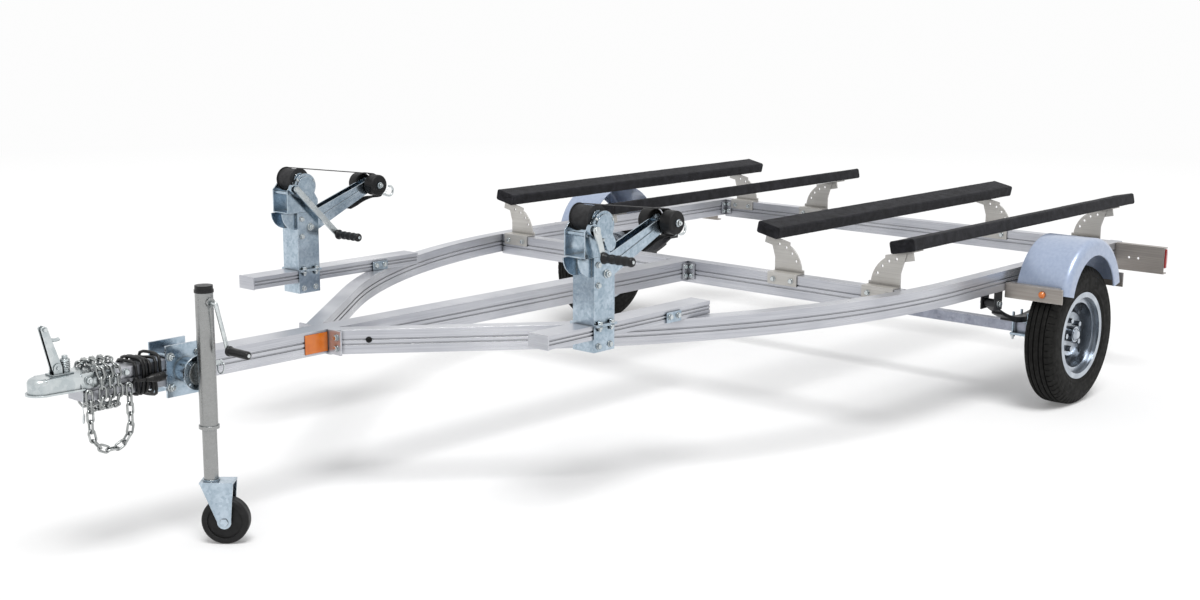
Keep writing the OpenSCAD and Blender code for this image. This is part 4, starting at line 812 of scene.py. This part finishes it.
# %% Lead
LEAD_R = 4.6
LEAD_GAP = 1.5
LEAD_TURNS = 6
LEAD_STEPS = 28
LEAD_REAR = 3262
LEAD_PITCH = 14.5
LOOSE = 15
LOOSE_ABOVE = 1.25
LOOSE_BELOW = 1.6
LOOSE_BESIDE = 0.35
BEAM_MID = 488
BEAM_HALF = 38


def lead_point(i):
    """Point i of the winding; the room round the beam swells and shrinks along it."""
    angle = 2 * math.pi * i / LEAD_STEPS
    slow = noise.noise(Vector((0.11 * i, 2.7, 0.4)))
    room = LEAD_R + LEAD_GAP + LOOSE * max(0, slow + 0.25)
    half_z = BEAM_HALF + room * (LOOSE_ABOVE if math.sin(angle) > 0 else LOOSE_BELOW)
    half_y = BEAM_HALF + LEAD_R + LEAD_GAP + LOOSE_BESIDE * room
    c = math.cos(angle)
    s = math.sin(angle)
    reach = (abs(c / half_y) ** 6 + abs(s / half_z) ** 6) ** (-1 / 6)
    waver = 10 * noise.noise(Vector((0.17 * i, 0.3, 5.1)))
    along = LEAD_REAR + LEAD_PITCH * i / LEAD_STEPS + waver
    return spot(along, reach * c, BEAM_MID + reach * s)


def smooth_path(points, steps=8):
    """Curve through all the points, with a few steps between two of them."""
    padded = [points[0] * 2 - points[1], *points, points[-1] * 2 - points[-2]]
    path = []
    for a, b, c, d in zip(padded, padded[1:], padded[2:], padded[3:]):
        square = a * 2 - b * 5 + c * 4 - d
        cube = b * 3 - a - c * 3 + d
        for i in range(steps):
            t = i / steps
            path.append((b * 2 + (c - a) * t + square * t ** 2 + cube * t ** 3) / 2)
    return [*path, points[-1]]


winding = [lead_point(i) for i in range(LEAD_TURNS * LEAD_STEPS - 4)]
to_plug = [winding[-1], spot(3352, 58, 492), spot(3345, 65, 488), spot(3322, 65.5, 488)]
lead = Mould()
lead.wire(winding[:-1] + smooth_path(to_plug), LEAD_R, 10)
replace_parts(lead.piece("lead_winding", "frame", "black_plastic", 60), "wiring_harness")

# %% Plug
PLUG_AT = spot(3262, 65.5, 488)
PLUG_HEAD = ((9, 0), (12.5, 0.8), (13.2, 2), (13.2, 16), (11.2, 18), (11.2, 20))
PLUG_GROOVES = [(13.6 - 2.2 * (i % 2) - 0.5 * (i // 2), 20 + 3.2 * i) for i in range(8)]
PLUG_TAIL = ((11.2, 19.5), *PLUG_GROOVES, (9.4, 47), (7.6, 49), (6.4, 60))
CONTACT = ((2.4, -2), (2.4, 6), (1.6, 7.5))
CONTACT_Y = (-4.5, 4.5)

plug = Mould()
plug.turned(PLUG_AT, (1, 0, 0), PLUG_HEAD, 28)
plug.turned(PLUG_AT, (1, 0, 0), PLUG_TAIL, 28)
for y in CONTACT_Y:
    plug.turned(PLUG_AT + Vector((0, y * MM, 0)), (-1, 0, 0), CONTACT, 12)
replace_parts(plug.piece("lead_plug", "frame", "black_plastic"), "harness_plug")

# %% [markdown]
# ## Winch straps with their hooks
# A winch strap is flat woven webbing. It runs from the drum over the bow rollers, turns down behind them and
# ends in a loop sewn round the bar of a hook, with its tail brought back below the arm. Flat webbing is best
# made directly: a thin section with rounded selvedges is carried along the path, and small raised rows are
# its seams.

# %% Path and section of a strap
WINCH_Y = 704
DRUM = (2205, 890.3)
ROLLER = (1862, 845)
STRAP_HALF = 22
STRAP_T = 2.4
STRAP_LIFT = 40.4
STRAP_STEPS = 24
STRAP_OFF_DRUM = 4
ROLLER_FROM = 83
ROLLER_TURN = 97
ROLLER_STEPS = 12
# Columns: x, z
STRAP_TAIL = (
    (1819, 822), (1812, 806), (1816, 798.5), (1830, 796), (1862, 796), (1900, 787), (1932, 774),
    (1962, 764),
)
# Columns: share of the half width, share of the thickness
STRAP_OUTLINE = (
    (-1, 0), (-0.96, 0.5), (-0.3, 0.5), (0.3, 0.5), (0.96, 0.5), (1, 0), (0.96, -0.5), (0, -0.5),
    (-0.96, -0.5),
)


def strap_path():
    """Middle line of the strap as pairs (x, z), from the drum to the end of the tail."""
    start_x = DRUM[0] - STRAP_OFF_DRUM
    start_z = DRUM[1] + STRAP_LIFT
    over = []
    for i in range(ROLLER_STEPS + 1):
        angle = math.radians(ROLLER_FROM + ROLLER_TURN * i / ROLLER_STEPS)
        over.append((ROLLER[0] + STRAP_LIFT * math.cos(angle), ROLLER[1] + STRAP_LIFT * math.sin(angle)))
    fall_x = over[0][0] - start_x
    fall_z = over[0][1] - start_z
    shares = [i / STRAP_STEPS for i in range(STRAP_STEPS)]
    run = [(start_x + fall_x * share, start_z + fall_z * share) for share in shares]
    tail = smooth_path([Vector((x, z, 0)) for x, z in STRAP_TAIL], 6)
    return run + over + [(point.x, point.y) for point in tail]


def strap_section(side_y, path):
    """Rings of the strap's section across a path, with thin round selvedges."""
    rings = []
    for i, (x, z) in enumerate(path):
        after = path[min(i + 1, len(path) - 1)]
        before = path[max(i - 1, 0)]
        run = Vector((after[0] - before[0], after[1] - before[1])).normalized() * STRAP_T
        rings.append([
            spot(x - run.y * up, side_y + STRAP_HALF * out, z + run.x * up) for out, up in STRAP_OUTLINE
        ])
    return rings


print("points along a strap:", len(strap_path()))

# %% Straps and their stitches
STITCH_X = 1816.4
STITCH_TOP = 838
STITCH_STEP = 4.5
STITCH_SLANT = 0.91
STITCH_R = 0.5

straps = Mould()
stitches = Mould()
for side, _ in SIDES:
    side_y = side * WINCH_Y
    straps.skin(strap_section(side_y, strap_path()))
    for row in range(5):
        z = STITCH_TOP - STITCH_STEP * row
        for y in range(-16, 17, 4):
            seam = [spot(STITCH_X + way, side_y + y + way, z) for way in (-STITCH_SLANT, STITCH_SLANT)]
            stitches.wire(seam, STITCH_R, 5)
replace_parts(straps.piece("straps", "frame", "strap_webbing", 50), "winch_straps")
stitches.piece("strap_stitches", "frame", "strap_webbing", 60)

# %% Hooks
HOOK_BAR = (1817, 806)
HOOK_WIRE = 3
CLAW_WIRE = 4.2
LATCH_WIRE = 1.6
BAR_Y = (-27, -13, 0, 13, 27)
# Columns: x and y from the middle of the bar
LIMB = ((0, 27), (-14, 24), (-27, 10), (-34, 4))
# Columns: x and z from the middle of the bar
CLAW = ((-30, -6), (-40, -9), (-58, -14), (-72, -8), (-76, 8), (-68, 20), (-56, 22))
LATCH = ((-38, -4), (-48, 8), (-58, 19))


def from_bar(side, x, y, z):
    """A place counted from the middle of a hook's bar."""
    return spot(HOOK_BAR[0] + x, side * WINCH_Y + y, HOOK_BAR[1] + z)


hooks = Mould()
for side, _ in SIDES:
    hooks.wire([from_bar(side, 0, y, 0) for y in BAR_Y], HOOK_WIRE, 10)
    for edge in (-1, 1):
        limb = [from_bar(side, x, edge * y, 0.2 * x) for x, y in LIMB]
        hooks.wire(smooth_path(limb, 5), HOOK_WIRE, 10)
    claw = [from_bar(side, x, 0, z) for x, z in CLAW]
    hooks.wire(smooth_path(claw, 6), CLAW_WIRE, 12)
    latch = [from_bar(side, x, 0, z) for x, z in LATCH]
    hooks.wire(smooth_path(latch, 5), LATCH_WIRE, 8)
hooks.piece("strap_hooks", "frame", "zinc", 60)

# %% [markdown]
# ## Grips
# The crank grips are moulded: a collar next to the arm, soft swells for the fingers, fine ribs and a domed
# end with a rivet in it. All of that is a turned profile, so a lathe of pairs of radius and height says it
# in a few lines.

# %% Grips
GRIP_R = 15
GRIP_LENGTH = 115
GRIP_SWELLS = 4
GRIP_FEET = (("left", spot(2212.2, 776.3, 776.7)), ("right", spot(2063.2, -631.7, 685.5)))
JACK_GRIP_R = 12
JACK_GRIP_LENGTH = 92
JACK_GRIP_FOOT = spot(3146, 211.4, 562)
DOME = 7
RIB_STEPS = 32
RIVET = ((5.2, -1.5), (5.2, 0.5), (4.4, 1.3), (2.4, 1.8))


def finger_profile(radius, length, swells):
    """Pairs of radius and height for a grip with a collar, finger swells and a round end."""
    rows = [(radius * 0.7, 0), (radius + 2.6, 0.6), (radius + 2.9, 4), (radius + 1, 6.5)]
    body = length - 16
    for i in range(RIB_STEPS + 1):
        share = i / RIB_STEPS
        rib = 0.28 * (i % 2)
        swell = 0.9 * math.cos(2 * math.pi * swells * share)
        rows.append((radius - 0.9 + swell - rib, 8 + body * share))
    for angle in (20, 45, 70, 88):
        turn = math.radians(angle)
        rows.append((radius - DOME + DOME * math.cos(turn), length - DOME + DOME * math.sin(turn)))
    return rows


def finger_grip(name, node, body, foot, radius, length, swells):
    """Grip that points to the trailer's left from its foot, and the rivet in its end."""
    grip = Mould()
    grip.turned(foot, (0, 1, 0), finger_profile(radius, length, swells), 32)
    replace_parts(grip.piece(name, body, "black_plastic", 50), node)
    rivet = Mould()
    tip = foot + Vector((0, length * MM, 0))
    rivet.turned(tip, (0, 1, 0), RIVET, 20)
    rivet.piece(f"{name}_rivet", body, "zinc")


for side_name, foot in GRIP_FEET:
    name = f"crank_grip_{side_name}"
    node = f"winch_grip_{side_name}"
    finger_grip(name, node, f"crank_{side_name}", foot, GRIP_R, GRIP_LENGTH, GRIP_SWELLS)
finger_grip("jack_handle", "jack_grip", "jack", JACK_GRIP_FOOT, JACK_GRIP_R, JACK_GRIP_LENGTH, 0)

# %% [markdown]
# ## Bolts and nuts
# An aluminium trailer is bolted together, and its bolts are its rhythm. Each function below sets the bolts
# of one part of the trailer, in millimetres from the axle, and says which way they face. One mesh holds them
# all, because nobody would ever pick a single bolt.

# %% Bolts of the frame
BRACKET_X = (896, -695)
BRACKET_Y = (855, 935, 445, 525)
BRACKET_Z = 505
CLIP_Z = (471, 505)
# Columns: x, y, direction in x and in y, width over the flats
CLIP_BOLTS = (
    (915, 44, (0, 1), 14),
    (897, 61, (1, 0), 14),
    (-676, 992, (0, -1), 14),
    (-694, 974, (1, 0), 14),
    (2661.2, 82, (1, 0), 15),
)
PLATE_Z = 444
PLATE_MIDDLE = (2530, 0)
PLATE_PAIRS = ((2600, 18), (2500, 62))
AHEAD = (1, 0, 0)
DOWN = (0, 0, -1)

bolts = Mould()
for x in BRACKET_X:
    for y in BRACKET_Y:
        for side, _ in SIDES:
            bolts.bolt(spot(x, side * y, BRACKET_Z), AHEAD, 15)
bolts.bolt(spot(*PLATE_MIDDLE, PLATE_Z), DOWN, 15)


def clip_bolts(side):
    """Corner clips, the plates that close the rails' front ends, and the plate under the junction."""
    for z in CLIP_Z:
        for x, y, (ahead, out), wide in CLIP_BOLTS:
            bolts.bolt(spot(x, side * y, z), (ahead, side * out, 0), wide)
    for x, y in PLATE_PAIRS:
        bolts.bolt(spot(x, side * y, PLATE_Z), DOWN, 15)


print("faces of the bracket bolts:", len(bolts.faces))

# %% Bolts of the winch stands
UP = (0, 0, 1)
BEAM_BOLT_X = (1826, 1866)
BEAM_BOLT_Y = 45
BEAM_BOLT_Z = 545
CLAMP_X = (2150, 2202)
CLAMP_Y = 49.5
CLAMP_TOP = 572.3
CLAMP_BELOW = 564
POST_Y = 43
POST_FOOT = (43.3, 504)
PIVOT = (2166, 721)
ARM_BOLTS = ((2204, 752), (2204, 690))
ROLLER_NUT_Y = 70.5
COVER = (2192, 868.3)
COVER_R = 41
COVER_Y = 54


def winch_bolts(side):
    """Beam and clamp bolts, post, pivot and rollers of one stand, and the small screws of its gear cover."""
    middle = side * WINCH_Y
    for x in BEAM_BOLT_X:
        for edge in (-1, 1):
            bolts.bolt(spot(x, middle + edge * BEAM_BOLT_Y, BEAM_BOLT_Z), (0, edge, 0), 14)
    for edge in (-1, 1):
        out = (0, edge, 0)
        for x in CLAMP_X:
            bolts.bolt(spot(x, middle + edge * CLAMP_Y, CLAMP_TOP), UP, 14)
            bolts.bolt(spot(x, middle + edge * CLAMP_Y, CLAMP_BELOW), DOWN, 14, 6)
        for x in CLAMP_X:
            bolts.bolt(spot(x, middle + edge * POST_FOOT[0], POST_FOOT[1]), out, 14)
        bolts.bolt(spot(PIVOT[0], middle + edge * POST_Y, PIVOT[1]), out, 19, 4)
        for x, z in ARM_BOLTS:
            bolts.bolt(spot(x, middle + edge * POST_Y, z), out, 14)
        bolts.bolt(spot(ROLLER[0], middle + edge * ROLLER_NUT_Y, ROLLER[1]), out, 15, 4)
    for turn in (35, 155, 275):
        x = COVER[0] + COVER_R * math.cos(math.radians(turn))
        z = COVER[1] + COVER_R * math.sin(math.radians(turn))
        bolts.bolt(spot(x, middle + COVER_Y, z), (0, 1, 0), 7)


print("clamp bolts of a stand:", 2 * len(CLAMP_X))

# %% Bolts of springs, jack and coupler
EYE_X = 274.9
EYE_Z = 401.9
EYE_NUT_Y = 30
SPRING_Y = 1010
U_BOLT_X = 33
U_BOLT_Y = 30
U_BOLT_Z = 240
JACK_BOLT_X = (3134, 3226)
JACK_BOLT_Y = 44
JACK_BOLT_Z = (443.7, 532.3)
COUPLER_BOLT = (3484, 43.3, 510)
TONGUE_BOLT = (3366, 38, 512)


def spring_bolts(side):
    """Bolts through the eyes of one spring and the nuts of its U-bolts."""
    for x in (-EYE_X, EYE_X):
        for edge in (-1, 1):
            bolts.bolt(spot(x, side * SPRING_Y + edge * EYE_NUT_Y, EYE_Z), (0, edge, 0), 20)
    for x in (-U_BOLT_X, U_BOLT_X):
        for y in (SPRING_Y - U_BOLT_Y, SPRING_Y + U_BOLT_Y):
            bolts.bolt(spot(x, side * y, U_BOLT_Z), DOWN, 16, 10)


def nose_bolts(side):
    """Bolts of the jack's bracket and of the coupler on one side of the tongue."""
    out = (0, side, 0)
    for x in JACK_BOLT_X:
        for z in JACK_BOLT_Z:
            bolts.bolt(spot(x, side * JACK_BOLT_Y, z), out, 18, 5)
    for (x, y, z), wide, thread in ((COUPLER_BOLT, 18, 4), (TONGUE_BOLT, 15, 0)):
        bolts.bolt(spot(x, side * y, z), out, wide, thread)


for side, _ in SIDES:
    clip_bolts(side)
    winch_bolts(side)
    spring_bolts(side)
    nose_bolts(side)
bolts.piece("frame_bolts", "frame", "zinc", 30)

# %% [markdown]
# ## Tail lamps
# A tail lamp is moulded in red throughout: a base that reaches past the end of its bracket, where it shows
# from the front, and a lens with a step at its foot, soft edges and a row of flutes that spread the light.
# Base and lens are stacks of rounded rectangles, skinned from the bracket to the rear, and the flutes are
# half-sunk bars. A bevelled box would have the edges, but neither the step nor the flutes.

# %% Tail lamps
LAMP_Y = 1222
LAMP_Z = 480.7
# Columns: x, half width, half height, corner radius
LAMP_BASE = ((-705.4, 45.5, 39.5, 4), (-713.5, 45.5, 39.5, 4), (-716.5, 43.5, 37.5, 4))
LAMP_LENS = (
    (-716, 41, 35, 6), (-719, 41, 35, 6), (-719.6, 38, 32, 7), (-737, 37, 31, 8), (-741.5, 35.6, 29.6, 8),
    (-744.2, 32.5, 26.5, 7), (-745, 28.5, 22.5, 6),
)
FLUTE_X = -744.4
FLUTE_R = 2.3
FLUTE_Y = range(-24, 25, 6)
FLUTE_Z = (-19, -18, 0, 18, 19)


def rounded_ring(x, y, z, half_y, half_z, radius):
    """Ring of points round a rectangle with round corners, upright at x."""
    ring = []
    for quarter, (to_y, to_z) in enumerate(((1, 1), (-1, 1), (-1, -1), (1, -1))):
        for step in range(6):
            angle = math.radians(90 * quarter + 18 * step)
            out_y = to_y * (half_y - radius) + radius * math.cos(angle)
            out_z = to_z * (half_z - radius) + radius * math.sin(angle)
            ring.append(spot(x, y + out_y, z + out_z))
    return ring


lamps = Mould()
for side, _ in SIDES:
    for stack in (LAMP_BASE, LAMP_LENS):
        lamps.skin([rounded_ring(x, side * LAMP_Y, LAMP_Z, *shape) for x, *shape in stack])
    for y in FLUTE_Y:
        lamps.wire([spot(FLUTE_X, side * LAMP_Y + y, LAMP_Z + z) for z in FLUTE_Z], FLUTE_R, 10)
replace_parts(lamps.piece("lamp_lenses", "frame", "red_lens", 35), "tail_lamps")

# %% [markdown]
# ## The small things at the nose
# Behind the latch lever a coil spring keeps the coupler shut. A wire with a pin hangs under the coupler. The
# jack's pull pin has a ring to hook a finger in, and a rubber grommet guards the wires where they enter the
# near rail. All of them are bent wires or turned parts.

# %% Latch spring and hanging pin
COIL_X = 3526.6
COIL_R = 12.4
COIL_FOOT = 545
COIL_RISE = 22
COIL_STEPS = 56
COIL_STEP = 0.5
COIL_WIRE = 1.9
HANGER = ((3506, 44.5, 502), (3506, 47, 496), (3505, 47, 470), (3507, 46, 440), (3505, 46, 418))
HANGER_WIRE = 1.1
HANGING_PIN_AT = spot(3505, 46, 420)
HANGING_PIN = ((2.2, 0), (2.2, 3), (3.2, 4), (3.2, 22), (1.6, 26))

coil = []
for i in range(COIL_STEPS + 1):
    x = COIL_X + COIL_R * math.cos(COIL_STEP * i)
    y = COIL_R * math.sin(COIL_STEP * i)
    coil.append(spot(x, y, COIL_FOOT + COIL_RISE * i / COIL_STEPS))
nose = Mould()
nose.wire(coil, COIL_WIRE, 8)
nose.wire(smooth_path([spot(*place) for place in HANGER], 5), HANGER_WIRE, 7)
nose.turned(HANGING_PIN_AT, (0.1, 0, -1), HANGING_PIN, 12)
nose.piece("nose_fittings", "frame", "zinc", 45)

# %% Pull ring and grommet
PULL_Y = 152
PULL_AT = spot(3158, PULL_Y, 520)
PULL_PIN = ((9, 0), (9, 9), (7.4, 10.5), (6, 11), (6, 22), (7.5, 22.6), (7.5, 27))
GROMMET_AT = spot(2579, 137, 494)
GROMMET = ((9.5, -4), (9.5, 1.4), (8, 3), (5.4, 3.2), (4.6, 2), (4.4, 0))
RAIL_TURN = math.radians(40)
RING_X = 3133
RING_Z = 504
RING_LEAN = 3
RING_HALF_Y = 15
RING_HALF_Z = 17
RING_WIRE = 2.1

pull = Mould()
pull.turned(PULL_AT, (-1, 0, 0), PULL_PIN, 20)
pull.wire([
    spot(RING_X - RING_LEAN * c, PULL_Y + RING_HALF_Y * s, RING_Z + RING_HALF_Z * c)
    for c, s in round_turn(28)
], RING_WIRE, 9, closed=True)
pull.piece("pull_ring", "jack", "zinc", 45)

grommet = Mould()
grommet.turned(GROMMET_AT, (math.sin(RAIL_TURN), math.cos(RAIL_TURN), 0), GROMMET, 26)
grommet.piece("wire_grommet", "frame", "black_rubber")

# %% [markdown]
# ## Floor, sky and sun
# The trailer was cut out on white, so the floor is pale and fades into a white sky, and it keeps the soft
# shadow of the wheels. For the camera, and for what shines, floor and sky are nearly white. As light they
# are only part of the whole, so that the sun still models the beams. Area lamps would light the near end of
# a long trailer more than the far one, so there is one sun, as wide as a bank of soft boxes.

# %% Floor
FLOOR_REACH = 60.0
FLOOR_TONE = (0.82, 0.82, 0.82, 1)
FLOOR_LIFT = 0.16
FAR_LIGHT = 0.40
FAR_SEEN = 0.58
FADE_FROM = 4.5
FADE_TO = 11.0
SEEN_RAYS = ("Is Camera Ray", "Is Glossy Ray", "Is Transmission Ray")


def seen_part(wire):
    """1 for the rays of the camera and of what shines or lets light through, 0 for the others."""
    path = wire.tree.nodes.new("ShaderNodeLightPath")
    rays = [Wire(wire.tree, path.outputs[name]) for name in SEEN_RAYS]
    return spread(sum(rays[1:], rays[0]), 0.0, 1.0)


def pale_floor():
    """Matt floor that keeps a shadow near the trailer and fades to white far from it."""
    material, shader, place = finish_of("pale_floor", {"Base Color": FLOOR_TONE, "Roughness": 0.9})
    output = material.node_tree.nodes["Material Output"]
    distance = place.node("ShaderNodeVectorMath", {"operation": "LENGTH"}, {0: place}, out=1)
    seen = seen_part(place)
    lift = place.node("ShaderNodeEmission", {}, {"Strength": seen * FLOOR_LIFT})
    lit = place.node("ShaderNodeAddShader", {}, {0: Wire(place.tree, shader.outputs[0]), 1: lift})
    white = place.node("ShaderNodeEmission", {}, {"Strength": seen * FAR_SEEN + FAR_LIGHT})
    fade = spread(distance, FADE_FROM, FADE_TO)
    whole = place.node("ShaderNodeMixShader", {}, {0: fade, 1: lit, 2: white})
    material.node_tree.links.new(whole.socket, output.inputs["Surface"])
    return material


bpy.ops.mesh.primitive_circle_add(vertices=96, radius=FLOOR_REACH, fill_type="NGON", location=(0, 0, 0))
floor = bpy.context.object
floor.name = "floor"
floor.data.materials.append(pale_floor())
print("floor reach:", FLOOR_REACH)

# %% Sky and sun
SKY_LIGHT = 0.50
SKY_SEEN = 0.48
SUN_FROM = Vector((0.24, 0.36, 1.0))
SUN_STRENGTH = 2.0
SUN_WIDTH = math.radians(28)

world = bpy.data.worlds.new("studio")
bpy.context.scene.world = world
world.use_nodes = True
tree = world.node_tree
sky = Wire(tree, tree.nodes.new("ShaderNodeTexCoord").outputs["Generated"])
brightness = seen_part(sky) * SKY_SEEN + SKY_LIGHT
sky_light = sky.node("ShaderNodeBackground", {}, {"Color": (1, 1, 1, 1), "Strength": brightness})
tree.links.new(sky_light.socket, tree.nodes["World Output"].inputs["Surface"])

sun = bpy.data.lights.new("key", "SUN")
sun.energy = SUN_STRENGTH
sun.angle = SUN_WIDTH
lamp = bpy.data.objects.new("key", sun)
lamp.rotation_euler = (-SUN_FROM).to_track_quat("-Z", "Y").to_euler()
bpy.context.scene.collection.objects.link(lamp)
bpy.context.scene.view_settings.view_transform = "Standard"
print("sky and sun set")
